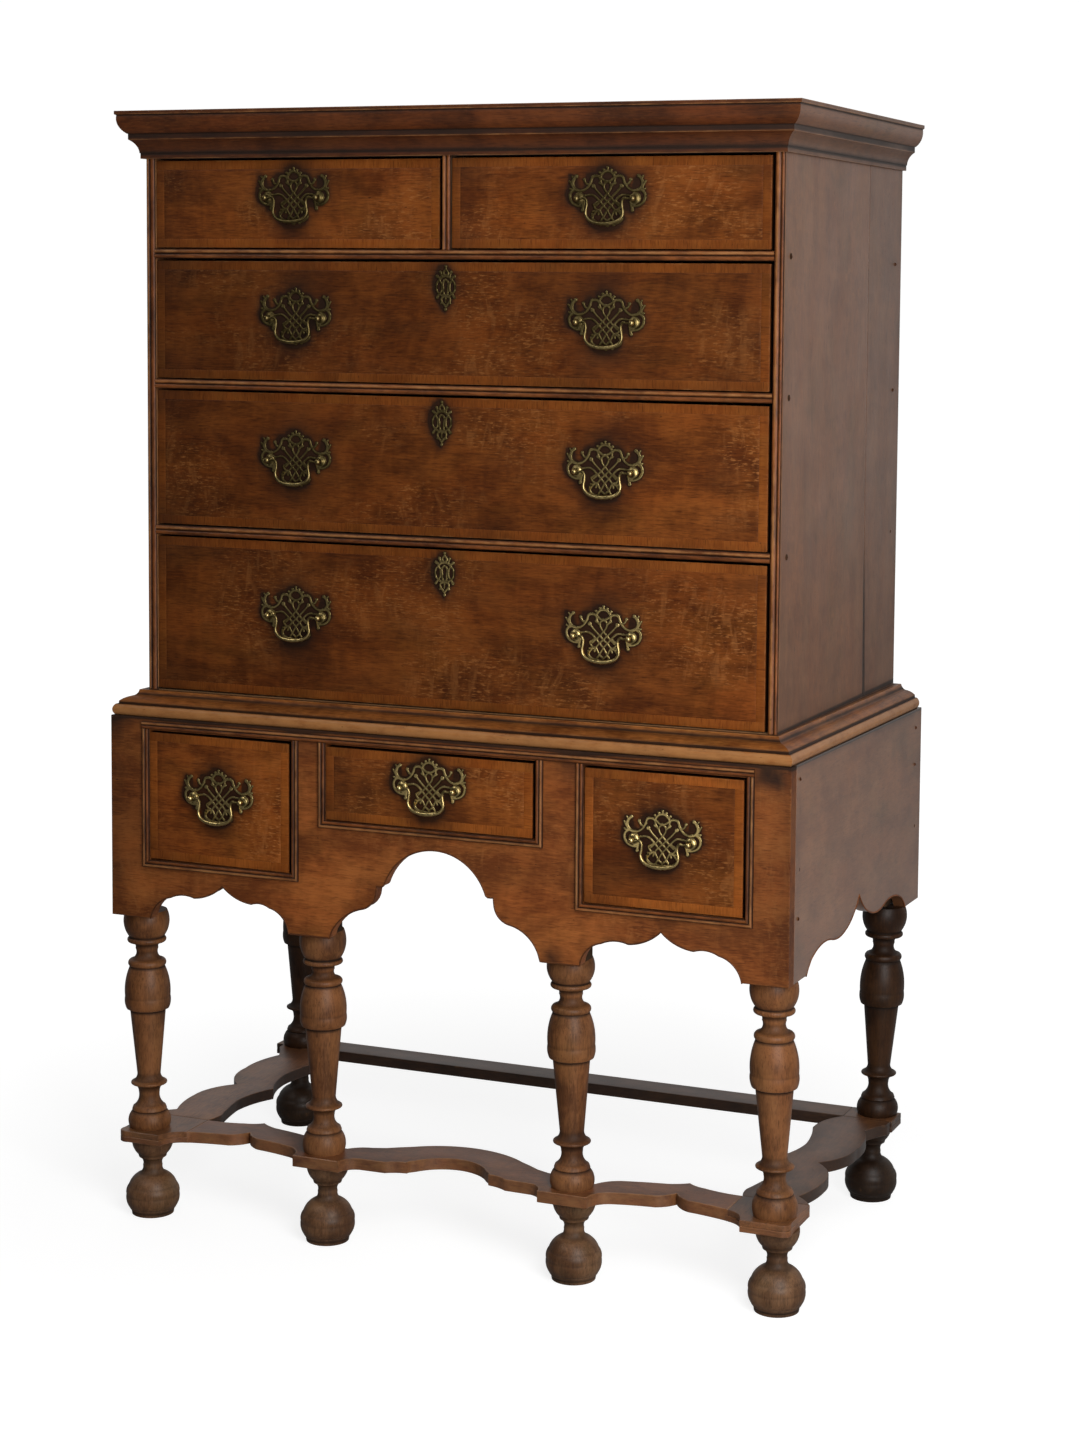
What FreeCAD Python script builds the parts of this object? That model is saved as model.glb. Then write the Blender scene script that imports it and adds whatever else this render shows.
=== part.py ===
import FreeCAD, Part
import os
import re
from FreeCAD import Placement, Rotation, Vector

# Oak chest on stand (highboy) in the William and Mary manner.
# Millimetres, +Z up, +X to the owner's right as the front is faced from -Y.
# The origin is on the floor, under the middle of the whole piece.
#
# Upper case: two half-width drawers over three long ones, between reeded rails, under a moulded
# cornice.  Stand: three drawers behind a shaped apron, six turned legs, flat shaped stretchers
# and ball feet.  The case sits on the stand's top inside the waist moulding.

doc = FreeCAD.newDocument("highboy")

# ---------------------------------------------------------------- driving dimensions
SIZES = {
    # stand
    "stand_half": 500, "stand_front": -279, "stand_back": 305, "stand_top": 719,
    "stand_board": 18, "apron_board": 20, "apron_foot": 437, "top_board": 14,
    "flank_centre": 326, "flank_width": 224, "flank_floor": 520, "flank_height": 182,
    "middle_centre": -8, "middle_width": 310, "middle_floor": 598, "partition_inner": 177, "partition_board": 17,
    "runner_height": 20, "back_foot": 470,
    # legs, feet and stretchers
    "leg_outer": 464, "leg_inner": 185.5, "leg_front": -234, "leg_back": 232,
    "stretcher_floor": 109, "stretcher_board": 16, "dowel_radius": 12, "block_depth": 50,
    "block_back_depth": 80, "outer_block": 42, "inner_block": 49, "dowel_long": 60,
    "stretcher_half": 498, "stretcher_front": -270, "stretcher_front_rear": -180,
    "stretcher_back_face": 205, "stretcher_back_rear": 253, "front_lap": 405, "back_lap": 425,
    "lap_play": 1,
    # upper case
    "case_half": 463, "case_front": -236, "case_back": 294, "case_foot": 719, "case_floor": 753,
    "case_top": 1553, "case_board": 13, "case_lid": 18, "back_board": 12, "case_bottom_board": 18,
    "rail_board": 13, "rail_depth": 60, "divider": 12, "divider_place": -6, "runner_width": 20,
    "lower_opening": 218, "middle_opening": 190, "upper_opening": 166, "top_opening": 123,
    "reed_height": 4, "bead_width": 10, "bead_height": 4.5, "cornice_height": 64,
    "cornice_out": 31, "waist_out": 39, "waist_height": 34,
    # drawers
    "drawer_front": 20, "drawer_gap": 2.5, "drawer_side": 10, "drawer_bottom": 6, "drawer_back": 8,
    "drawer_run_gap": 0.5, "bottom_raise": 6, "side_drop": 8, "drawer_end": 262, "stand_drawer_end": 195,
    # brass
    "handle_half": 39, "handle_offset": 227, "handle_shift": -5.5, "plate_thick": 1.4, "post_reach": 11, "post_radius": 5,
    "pin_radius": 2, "nut_side": 10, "nut_thick": 4, "bail_radius": 2.4, "bail_drop": 30,
    "peg_radius": 4, "peg_proud": 0.6,
}
sheet = doc.addObject("Spreadsheet::Sheet", "Sizes")
for row, (alias, number) in enumerate(SIZES.items(), start=1):
    sheet.set(f"A{row}", alias)
    sheet.set(f"B{row}", str(number))
    sheet.setAlias(f"B{row}", alias)
doc.recompute()
ALIAS = re.compile(r"\b(" + "|".join(sorted(SIZES, key=len, reverse=True)) + r")\b")
nodes = {}


def size(alias):
    """The sheet's number for one alias."""
    return float(sheet.get(alias))


def bound(text):
    """An expression over the sheet: each alias gets the sheet's name in front."""
    return ALIAS.sub(r"Sizes.\1", str(text))


def bind(obj, **formulas):
    """Bind properties of obj to the sheet; a double underscore stands for a dot."""
    for path, text in formulas.items():
        obj.setExpression(path.replace("__", "."), bound(text))
    return obj


def keep(obj, node):
    """Make obj the sub-part that is written as parts/node.step."""
    obj.Label = node
    nodes[node] = obj
    return obj


def put(obj, x="0", y="0", z="0"):
    """Bind the place of an object to the sheet."""
    return bind(obj, Placement__Base__x=x, Placement__Base__y=y, Placement__Base__z=z)


# ---------------------------------------------------------------- makers
def board(name, x, y, z):
    """A sawn board; x, y and z are each a pair of formulas, its lowest and highest coordinate."""
    box = doc.addObject("Part::Box", name)
    bind(box, Length=f"({x[1]}) - ({x[0]})", Width=f"({y[1]}) - ({y[0]})", Height=f"({z[1]}) - ({z[0]})")
    return put(box, x[0], y[0], z[0])


def rod(name, axis, radius, length, x, y, z):
    """A cylinder from a starting point along +X, +Y or +Z."""
    cylinder = doc.addObject("Part::Cylinder", name)
    turn = {"X": Rotation(Vector(0, 1, 0), 90), "Y": Rotation(Vector(1, 0, 0), -90), "Z": Rotation()}
    cylinder.Placement = Placement(Vector(), turn[axis])
    bind(cylinder, Radius=radius, Height=length)
    return put(cylinder, x, y, z)


def group(name, pieces):
    """Separate solids that share a node."""
    compound = doc.addObject("Part::Compound", name)
    compound.Links = pieces
    return compound


def cut(name, base, tools):
    """base with the tools taken out of it."""
    result = doc.addObject("Part::Cut", name)
    result.Base = base
    result.Tool = tools[0] if len(tools) == 1 else group(name + "_tools", tools)
    return result


def fuse(name, pieces):
    """Pieces of one solid."""
    result = doc.addObject("Part::MultiFuse", name)
    result.Shapes = pieces
    return result


def steps(path):
    """Straight and curved steps of an outline: a point is a line to it, a pair of points an arc."""
    here = Vector(*path[0])
    for step in path[1:]:
        if isinstance(step[0], tuple):
            middle, end = Vector(*step[0]), Vector(*step[1])
            yield here, middle, end
            here = end
        else:
            yield here, None, Vector(*step)
            here = Vector(*step)


def sketch_on(body, plane, name, outlines):
    """A sketch of closed or open outlines on one of the body's own origin planes."""
    sketch = body.newObject("Sketcher::SketchObject", name)
    planes = {item.Role: item for item in body.Origin.OriginFeatures}
    sketch.AttachmentSupport = [(planes[plane], "")]
    sketch.MapMode = "FlatFace"
    for outline in outlines:
        for start, middle, end in steps(outline):
            if middle is None:
                sketch.addGeometry(Part.LineSegment(start, end), False)
                continue
            turning = (middle - start).cross(end - middle).z
            ends = (start, end) if turning > 0 else (end, start)
            sketch.addGeometry(Part.Arc(ends[0], middle, ends[1]), False)
    return sketch


def closed(path):
    """The outline with a last straight step back to its start."""
    return list(path) + [path[0]]


def mirrored(path):
    """An outline's right half, from x = 0, continued to its left half in reverse order."""
    half = list(path)
    ends = [step[1] if isinstance(step[0], tuple) else step for step in half]
    left = []
    for index in range(len(half) - 1, 0, -1):
        step, before = half[index], ends[index - 1]
        target = (-before[0], before[1])
        if isinstance(step[0], tuple):
            left.append(((-step[0][0], step[0][1]), target))
        else:
            left.append(target)
    return half, left, (-ends[-1][0], ends[-1][1])


def padded(name, plane, outlines, length, backwards=False):
    """A board sawn to an outline: the sketch's outlines padded by a length from the sheet."""
    body = doc.addObject("PartDesign::Body", name)
    sketch = sketch_on(body, plane, name + "_outline", outlines)
    pad = body.newObject("PartDesign::Pad", name + "_pad")
    pad.Profile = sketch
    pad.Reversed = backwards
    bind(pad, Length=length)
    body.Tip = pad
    return body


def turned(name, outline):
    """A turning about +Z from the right half of its section."""
    body = doc.addObject("PartDesign::Body", name)
    sketch = sketch_on(body, "XZ_Plane", name + "_section", [closed(outline)])
    spin = body.newObject("PartDesign::Revolution", name + "_turning")
    spin.Profile = sketch
    spin.ReferenceAxis = (sketch, ["V_Axis"])
    spin.Angle = 360
    body.Tip = spin
    return body


def moulding(section, start, along, out, up, length, ends):
    """One mitred length of moulding.  section holds (out, up) steps, ends the shift of the outer
    edge beyond each end as a share of the projection: 1 at an outside corner, -1 inside, 0 square."""
    edges, points = [], []
    for step in steps(closed(section)):
        placed = [start + out * p.x + up * p.y for p in step if p is not None]
        edges.append(Part.makeLine(*placed) if step[1] is None else Part.Arc(*placed).toShape())
        points += placed
    reach = max((point - start).dot(out) for point in points)
    low = min((point - start).dot(up) for point in points) - 1
    high = max((point - start).dot(up) for point in points) + 1
    shift = -along * reach * 1.01
    face = Part.Face(Part.Wire(Part.__sortEdges__(edges)))
    face.translate(shift)
    run = face.extrude(along * (length + 2.02 * reach))
    corners = [start, start + along * length,
               start + along * (length + ends[1] * reach) + out * reach,
               start - along * (ends[0] * reach) + out * reach]
    plan = Part.Face(Part.makePolygon([c + up * low for c in corners + corners[:1]]))
    return run.common(plan.extrude(up * (high - low))).Solids[0]


def shaped(name, solids):
    """A group of solids made in code."""
    feature = doc.addObject("Part::Feature", name)
    feature.Shape = Part.makeCompound(solids)
    return feature


X, Y, Z = Vector(1, 0, 0), Vector(0, 1, 0), Vector(0, 0, 1)
SIDES = {"left": -1, "right": 1}


# ---------------------------------------------------------------- upper case
RAIL_1 = "case_floor + lower_opening"
RAIL_2 = f"{RAIL_1} + rail_board + middle_opening"
RAIL_3 = f"{RAIL_2} + rail_board + upper_opening"
RAIL_TOP = f"{RAIL_3} + rail_board + top_opening"
CASE_INNER = "case_half - case_board"
BACK_FACE = "case_back - back_board"
LID_FLOOR = "case_top - case_lid"
PEG_Y = "case_front + 25"
BACK_PLANKS = 4


def pegs(name, side, spots, face):
    """Oak pegs driven through a side board, with the rods that drill their holes."""
    sign = SIDES[side]
    drills, solids = [], []
    for index, (y, z, board_thick) in enumerate(spots):
        for tag, made, reach in (("drill", drills, board_thick),
                                 ("peg", solids, f"{board_thick} + peg_proud")):
            start = f"{face} - {board_thick}" if sign > 0 else f"-({face}) - ({reach}) + {board_thick}"
            made.append(rod(f"{name}_{side}_{tag}_{index}", "X", "peg_radius", reach, start, y, z))
    return drills, solids


def case_boards():
    """The carcase: sides, lid, bottom and a back of upright planks."""
    peg_spots = [(PEG_Y, f"{rail} + rail_board / 2", "case_board") for rail in (RAIL_1, RAIL_2, RAIL_3)]
    all_pegs = []
    for side, sign in SIDES.items():
        x = (CASE_INNER, "case_half") if sign > 0 else ("-case_half", f"-({CASE_INNER})")
        plank = board(f"case_side_{side}_board", x, ("case_front", "case_back"), ("case_foot", LID_FLOOR))
        drills, solids = pegs("case", side, peg_spots, "case_half")
        keep(cut(f"case_side_{side}_drilled", plank, drills), f"case_side_{side}")
        all_pegs += solids
    keep(board("case_lid_board", ("-case_half", "case_half"), ("case_front - reed_height", "case_back"),
               (LID_FLOOR, "case_top")), "case_top")
    keep(board("case_bottom", (f"-({CASE_INNER})", CASE_INNER), ("case_front", BACK_FACE),
               ("case_floor - case_bottom_board", "case_floor")), "case_bottom")
    planks = []
    for index in range(BACK_PLANKS):
        x = [f"({CASE_INNER}) * {2 * edge / BACK_PLANKS - 1}" for edge in (index, index + 1)]
        planks.append(board(f"back_plank_{index + 1}", x, (BACK_FACE, "case_back"),
                            ("case_foot", LID_FLOOR)))
    keep(group("back_planks", planks), "case_back")
    return all_pegs


def case_frames(all_pegs):
    """Rails, the divider of the top row, the runners that carry the drawers, and the pegs."""
    wide = (f"-({CASE_INNER})", CASE_INNER)
    deep = ("case_front", "case_front + rail_depth")
    rest = ("case_front + rail_depth", BACK_FACE)
    pieces = [board("plinth_rail", wide, ("case_front", "case_front + 20"),
                    ("case_foot", "case_floor - case_bottom_board")),
              board("top_rail", wide, ("case_front - reed_height", "case_front + 20"),
                    (RAIL_TOP, LID_FLOOR))]
    for index, rail in enumerate((RAIL_1, RAIL_2, RAIL_3), start=1):
        z = (rail, f"{rail} + rail_board")
        pieces.append(board(f"rail_{index}", wide, deep, z))
        pieces.append(board(f"runner_{index}_right", (f"{CASE_INNER} - runner_width", CASE_INNER), rest, z))
        pieces.append(board(f"runner_{index}_left",
                            (f"-({CASE_INNER})", f"-({CASE_INNER}) + runner_width"), rest, z))
    top_floor = f"{RAIL_3} + rail_board"
    pieces.append(board("runner_centre", ("divider_place - runner_width", "divider_place + runner_width"), rest, (RAIL_3, top_floor)))
    pieces.append(board("divider", ("divider_place - divider / 2", "divider_place + divider / 2"), deep, (top_floor, RAIL_TOP)))
    pieces.append(board("guide_centre", ("divider_place - divider / 4", "divider_place + divider / 4"), rest,
                        (top_floor, f"{top_floor} + 20")))
    keep(group("case_frames", pieces + all_pegs), "case_drawer_frames")


# Sections of the two mouldings as shares of their projection and their height, from the case out.
CORNICE = [(0, 1), (1, 1), (1, 0.93), (0.925, 0.906), ((0.873, 0.69), (0.59, 0.523)), (0.56, 0.523),
           (0.56, 0.4), ((0.31, 0.288), (0.197, 0.117)), (0.167, 0.117), (0.167, 0), (0, 0)]
WAIST = [(0, 0), (0.87, 0), ((0.97, 0.07), (1, 0.22)), ((0.975, 0.38), (0.88, 0.44)), (0.79, 0.44),
         (0.76, 0.36), (0.7, 0.36), (0.7, 0.5), ((0.66, 0.66), (0.37, 0.71)), (0.34, 0.71), (0.33, 0.78),
         ((0.27, 0.89), (0.11, 0.93)), (0.103, 1), (0, 1)]


def scaled(section, out, height):
    """A section of shares brought to its real projection and height."""
    def point(pair):
        return (pair[0] * out, pair[1] * height)
    return [tuple(point(p) for p in step) if isinstance(step[0], tuple) else point(step)
            for step in section]


def three_sided(section, half, front, back, floor):
    """A moulding along the left side, the front and the right side, mitred at the two corners."""
    left = moulding(section, Vector(-half, back, floor), -Y, -X, Z, back - front, (0, 1))
    face = moulding(section, Vector(-half, front, floor), X, -Y, Z, 2 * half, (1, 1))
    right = moulding(section, Vector(half, front, floor), Y, X, Z, back - front, (1, 0))
    return [left, face, right]


def reed_section(width, height):
    """A double reed: two half rounds side by side on a thin fillet."""
    quarter = width / 4
    fillet = height - 0.8 * quarter
    return [(0, 0), (0, fillet), ((quarter, height), (2 * quarter, fillet)),
            ((3 * quarter, height), (width, fillet)), (width, 0)]


def strip(x, y_face, z, width, height, along, length, ends):
    """A double-reeded strip laid on the front; along is X or Z, ends as in moulding()."""
    out = Z if along == X else -X
    return moulding(reed_section(width, height), Vector(x, y_face, z), along, out, -Y, length, ends)


def mouldings():
    """Cornice and waist mouldings, and the double beads round every drawer."""
    half, reed_face = size("case_half"), size("case_front") - size("reed_height")
    back = size("case_back")
    cornice = scaled(CORNICE, size("cornice_out"), size("cornice_height"))
    cornice_floor = size("case_top") - size("cornice_height")
    keep(shaped("cornice_lengths", three_sided(cornice, half, reed_face, back, cornice_floor)), "cornice")
    waist = scaled(WAIST, size("waist_out"), size("waist_height"))
    keep(shaped("waist_lengths", three_sided(waist, half, reed_face, back, size("stand_top"))),
         "waist_moulding")
    strips = []
    inner, face, high = half - size("case_board"), size("case_front"), size("reed_height")
    floor, rail = size("case_floor"), size("rail_board")
    for sign in (-1, 1):
        x = inner + size("case_board") if sign > 0 else -inner
        strips.append(strip(x, face, floor, size("case_board"), high, Z, cornice_floor - floor, (0, 0)))
    levels = [floor + size("lower_opening")]
    levels.append(levels[0] + rail + size("middle_opening"))
    levels.append(levels[1] + rail + size("upper_opening"))
    for level in levels:
        strips.append(strip(-inner, face, level, rail, high, X, 2 * inner, (0, 0)))
    divider = size("divider")
    strips.append(strip(size("divider_place") + divider / 2, face, levels[2] + rail, divider, high, Z,
                        size("top_opening"), (0, 0)))
    stand = size("stand_front")
    width, proud = size("bead_width"), size("bead_height")
    flank, flank_half = size("flank_centre"), size("flank_width") / 2
    middle_half, ceiling = size("middle_width") / 2, size("flank_floor") + size("flank_height")
    outer = flank + flank_half
    strips.append(strip(-outer - width, stand, ceiling + 2, width, proud, X, 2 * (outer + width), (0, 0)))
    for centre, reach, low in ((-flank, flank_half, size("flank_floor")),
                               (size("middle_centre"), middle_half, size("middle_floor")),
                               (flank, flank_half, size("flank_floor"))):
        length = ceiling + 2 - low
        strips.append(strip(centre - reach, stand, low, width, proud, Z, length, (1, 0)))
        right = moulding(reed_section(width, proud), Vector(centre + reach, stand, low), Z, X, -Y,
                         length, (1, 0))
        foot = moulding(reed_section(width, proud), Vector(centre - reach, stand, low), X, -Z, -Y,
                        2 * reach, (1, 1))
        strips += [right, foot]
    keep(shaped("bead_strips", strips), "bead_mouldings")


# ---------------------------------------------------------------- stand
APRON = {"flank_cusp": 493, "flank_shoulder": 472.5, "arch_top": 571, "arch_ledge": 516}


def apron_outline():
    """The front board's outline in x and z, its right half from the arch's crown to the top."""
    foot, middle = size("apron_foot"), 323
    cusp, shoulder, ledge = APRON["flank_cusp"], APRON["flank_shoulder"], APRON["arch_ledge"]
    half = [(0, APRON["arch_top"]), ((42, 559), (75, ledge + 1)), (78, ledge - 1), (86, ledge - 1),
            (87, 507), ((94, 490), (111, 481)), ((139, 465.5), (151, 447)), (154, foot),
            (middle - 107, foot), (middle - 104, 449), ((middle - 94, 465.5), (middle - 75, shoulder - 0.5)),
            (middle - 45, shoulder), ((middle - 17, 480.5), (middle, cusp)),
            ((middle + 17, 480.5), (middle + 45, shoulder)), (middle + 75, shoulder - 0.5),
            ((middle + 94, 465.5), (middle + 104, 449)), (middle + 107, foot),
            (size("stand_half"), foot), (size("stand_half"), size("stand_top"))]
    right, left, corner = mirrored(half)
    return right + [corner] + left


def window(centre, half, low, high):
    """A rectangular opening for a drawer."""
    return closed([(centre - half, low), (centre + half, low), (centre + half, high), (centre - half, high)])


def side_outline():
    """A side board's outline in y and z, with a brace-shaped lower edge."""
    front, back = size("stand_front") + size("apron_board"), size("stand_back")
    foot, top, middle, cusp = size("apron_foot"), size("stand_top"), 16, 500
    flank = [((middle - 24, 478), (middle - 58, 463.5)), ((middle - 88, 459.2), (middle - 118, 463)),
             ((middle - 164, 465.8), (middle - 204, 455)), (middle - 216, 446), (middle - 224, foot)]
    ends = [(middle, cusp)] + [step[1] if isinstance(step[0], tuple) else step for step in flank]
    rise = []
    for step, before in zip(reversed(flank), reversed(ends[:-1])):
        target = (2 * middle - before[0], before[1])
        rise.append(((2 * middle - step[0][0], step[0][1]), target) if isinstance(step[0], tuple)
                    else target)
    return [(front, top), (back, top), (back, foot), (middle + 224, foot)] + rise + flank + \
        [(front, foot), (front, top)]


def stand_boards():
    """Front, sides, back and top of the stand."""
    windows = []
    low, high = size("flank_floor"), size("flank_floor") + size("flank_height")
    for sign in (-1, 1):
        windows.append(window(sign * size("flank_centre"), size("flank_width") / 2, low, high))
    windows.append(window(size("middle_centre"), size("middle_width") / 2, size("middle_floor"), high))
    front = padded("apron_front", "XZ_Plane", [apron_outline()] + windows, "apron_board")
    keep(put(front, y="stand_front + apron_board"), "stand_front")
    spots = [(y, z, "stand_board") for y, z in (("stand_front + 34", "stand_top - 19"),
                                                ("stand_back - 30", "stand_top - 26"),
                                                ("stand_front + 36", "stand_top - 136"),
                                                ("stand_back - 28", "stand_top - 170"))]
    all_pegs = []
    for side, sign in SIDES.items():
        plank = padded(f"stand_side_{side}_plank", "YZ_Plane", [side_outline()], "stand_board")
        put(plank, x="stand_half - stand_board" if sign > 0 else "-stand_half")
        drills, solids = pegs("stand", side, spots, "stand_half")
        keep(cut(f"stand_side_{side}_drilled", plank, drills), f"stand_side_{side}")
        all_pegs += solids
    inner = ("-stand_half + stand_board", "stand_half - stand_board")
    keep(board("stand_back_plank", inner, ("stand_back - stand_board", "stand_back"),
               ("back_foot", "stand_top")), "stand_back")
    keep(board("stand_top_plank", inner, ("stand_front + apron_board", "stand_back - stand_board"),
               ("stand_top - top_board", "stand_top")), "stand_top")
    return all_pegs


def leg_places():
    """Name, x and y formulas of the six legs."""
    for side, sign in SIDES.items():
        minus = "-" if sign < 0 else ""
        yield f"front_outer_{side}", f"{minus}leg_outer", "leg_front"
        yield f"front_inner_{side}", f"{minus}leg_inner", "leg_front"
        yield f"back_{side}", f"{minus}leg_outer", "leg_back"


def stand_frame(all_pegs):
    """Blocks that hold the legs, partitions between the drawers, and the drawers' runners."""
    ceiling = "stand_top - top_board"
    front, back = "stand_front + apron_board", "stand_back - stand_board"
    pieces = []
    for name, x, y in leg_places():
        sign = -1 if x.startswith("-") else 1
        if "inner" in name:
            across = (f"{x} - inner_block / 2", f"{x} + inner_block / 2")
        else:
            wall = "stand_half - stand_board"
            across = ((f"{wall} - outer_block", wall) if sign > 0
                      else (f"-({wall})", f"-({wall}) + outer_block"))
        deep = (f"{back} - block_back_depth", back) if "back" in name else (front, f"{front} + block_depth")
        block = board(f"block_{name}", across, deep, ("apron_foot", ceiling))
        socket = rod(f"socket_{name}", "Z", "dowel_radius", "dowel_long", x, y, "apron_foot")
        pieces.append(cut(f"bored_{name}", block, [socket]))
    behind = f"{front} + block_depth"
    flank_z = ("flank_floor - runner_height", "flank_floor")
    middle_z = ("middle_floor - runner_height", "middle_floor")
    outside = "partition_inner + partition_board"
    for side, sign in SIDES.items():
        spans = {"partition": (("partition_inner", outside), (behind, back),
                               ("flank_floor - runner_height", ceiling)),
                 "runner_inner": ((outside, f"{outside} + 38"), (behind, back), flank_z),
                 "runner_outer": (("stand_half - stand_board - 62", "stand_half - stand_board"),
                                  (behind, f"{back} - block_back_depth"), flank_z),
                 "runner_middle": (("partition_inner - 42", "partition_inner"), (behind, back), middle_z)}
        for part, (x, y, z) in spans.items():
            if sign < 0:
                x = (f"-({x[1]})", f"-({x[0]})")
            pieces.append(board(f"{part}_{side}", x, y, z))
    keep(group("stand_frame", pieces + all_pegs), "stand_framing")


# ---------------------------------------------------------------- legs, stretchers and feet
def leg_outline():
    """Right half of a leg's section: cup, neck and ring, vase, taper, collar, neck and ball,
    with a dowel at each end."""
    pin, top = size("dowel_radius"), size("apron_foot")
    seat = size("stretcher_floor") + size("stretcher_board")
    return [(0, top + size("dowel_long")), (pin, top + size("dowel_long")), (pin, top), (29, top),
            ((32, 418), (25, 400)), (25, 398.5), ((27.4, 394.5), (25.5, 391.5)), ((17.6, 389), (16, 382)),
            ((16.6, 371), (24.5, 366)), ((26.8, 361.5), (24.4, 356.5)), ((31, 333), (31.8, 310)),
            ((31.9, 298), (30, 291.5)), (25, 289.3), (16.3, 199), ((18, 193.5), (24.4, 188.5)),
            ((25.4, 186.8), (24.2, 185)), ((17.4, 181.5), (14.7, 174)), ((16.2, 162), (23, 154.5)),
            (24.4, 150.6), (23.6, 149), ((29.8, 137), (27.8, seat)), (pin, seat), (pin, 84), (0, 84)]


def foot_outline():
    """Right half of a foot's section: an upturned cup under the stretcher, a neck and a ball."""
    pin, seat = size("dowel_radius"), size("stretcher_floor")
    return [(pin, 84), (pin, seat), (29, seat), ((27.6, 97), (20.5, 86)), (19.4, 82),
            ((14.2, 77), (13.8, 69)), ((15.6, 60), (24, 52)), ((37.4, 27), (32.4, 8)), (30.2, 5.5),
            (29.5, 0), (0, 0), (0, 84)]


def legs():
    """Six legs, each turned with its dowels, and the six ball feet."""
    feet = []
    for name, x, y in leg_places():
        keep(put(turned(f"turned_{name}", leg_outline()), x, y), f"leg_{name}")
        feet.append(put(turned(f"foot_{name}", foot_outline()), x, y))
    keep(group("feet", feet), "ball_feet")


def front_stretcher_outline():
    """Plan of the front stretcher, right half first: its front edge mirrors the apron."""
    front, rear, edge = size("stretcher_front"), size("stretcher_front_rear"), size("stretcher_half")
    half = [(0, -195), ((28, -202), (52, -223)), (60, -231), (61, -235), ((77, -239), (90, -246)),
            (128, -247), ((142, -255), (148, front)), (219, front), ((226, -249), (243, -238)),
            ((270, -231.5), (299, -227)), ((312, -219), (322, -206)), ((332, -219), (345, -227)),
            ((374, -231.5), (402, -238)), ((421, -248), (432, front)), (edge - 6, front),
            ((edge - 2, front + 2), (edge, front + 6)), (edge, rear)]
    back = [(403, rear), ((375, -178), (350, -172)), ((336, -168), (324, -160)), ((312, -168), (298, -174)),
            ((268, -180), (240, -187)), ((222, -196), (208, -214)), (163, -214),
            ((152, -204), (133, -197)), (115, -190), (100, -180), (83, -170), ((43, -149), (0, -142))]
    whole = half + back
    right, left, _ = mirrored(whole)
    return right + left


def side_stretcher_outline():
    """Plan of the right side stretcher: a wave-edged plank whose laps follow the planks under them."""
    edge, front, front_rear = size("stretcher_half"), size("stretcher_front"), size("stretcher_front_rear")
    back, rear = size("stretcher_back_face"), size("stretcher_back_rear")
    front_lap, back_lap = size("front_lap"), size("back_lap")
    return closed([(edge, -190), ((490, -170), (474, -152)), ((484, -118), (487, -82)),
                   ((480, -42), (456, -10)), ((480, 22), (487, 62)), ((484, 98), (474, 132)),
                   ((490, 164), (edge, 190)), (edge, rear), (back_lap, rear), (back_lap, back),
                   ((404, 162), (400, 128)), ((410, 92), (414, 60)), ((408, 22), (394, -10)),
                   ((408, -42), (414, -82)), ((408, -118), (400, -152)),
                   ((401, -166), (front_lap, front_rear)), (front_lap, -239.5), ((421, -248), (432, front)),
                   (edge - 6, front), ((edge - 2, front + 2), (edge, front + 6))])


def stretchers():
    """Flat stretchers half-lapped at the corners and bored for the legs' lower dowels."""
    half = "stretcher_board / 2"
    floor, top = "stretcher_floor", "stretcher_floor + stretcher_board"
    middle = f"stretcher_floor + {half}"

    def bores(names):
        return [rod(f"bore_{name}_{len(nodes)}", "Z", "dowel_radius", "stretcher_board", x, y, floor)
                for name, x, y in leg_places() if name in names]

    def notch(tag, side, inner, y, z):
        outer = "stretcher_half + lap_play"
        x = (inner, outer) if side == "right" else (f"-({outer})", f"-({inner})")
        return board(f"lap_{tag}_{side}", x, y, z)

    front_y = ("stretcher_front - lap_play", "stretcher_front_rear")
    back_y = ("stretcher_back_face - lap_play", "stretcher_back_rear + lap_play")
    front = put(padded("stretcher_front_plank", "XY_Plane", [front_stretcher_outline()], "stretcher_board"),
                z=floor)
    fronts = [name for name, _, _ in leg_places() if "front" in name]
    front_laps = [notch("front", side, "front_lap", front_y, (middle, top)) for side in SIDES]
    keep(cut("stretcher_front_bored", front, bores(fronts) + front_laps), "stretcher_front")
    back = board("stretcher_back_plank", ("-stretcher_half", "stretcher_half"),
                 ("stretcher_back_face", "stretcher_back_rear"), (floor, top))
    backs = [name for name, _, _ in leg_places() if "back" in name]
    back_laps = [notch("back", side, "back_lap", back_y, (middle, top)) for side in SIDES]
    keep(cut("stretcher_back_bored", back, bores(backs) + back_laps), "stretcher_back")
    sides = []
    for side, sign in SIDES.items():
        plank = padded(f"stretcher_{side}_plank", "XY_Plane", [side_stretcher_outline()], "stretcher_board")
        put(plank, z=floor)
        if sign < 0:
            flipped = doc.addObject("Part::Mirroring", "stretcher_left_mirrored")
            flipped.Source = plank
            flipped.Normal = X
            plank = flipped
        tools = bores([f"front_outer_{side}", f"back_{side}"])
        tools += [notch("under_front", side, "front_lap - lap_play", front_y, (floor, middle)),
                  notch("under_back", side, "front_lap - lap_play", back_y, (floor, middle))]
        sides.append(cut(f"stretcher_{side}_bored", plank, tools))
    keep(group("stretcher_sides_pair", sides), "stretcher_sides")


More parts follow.
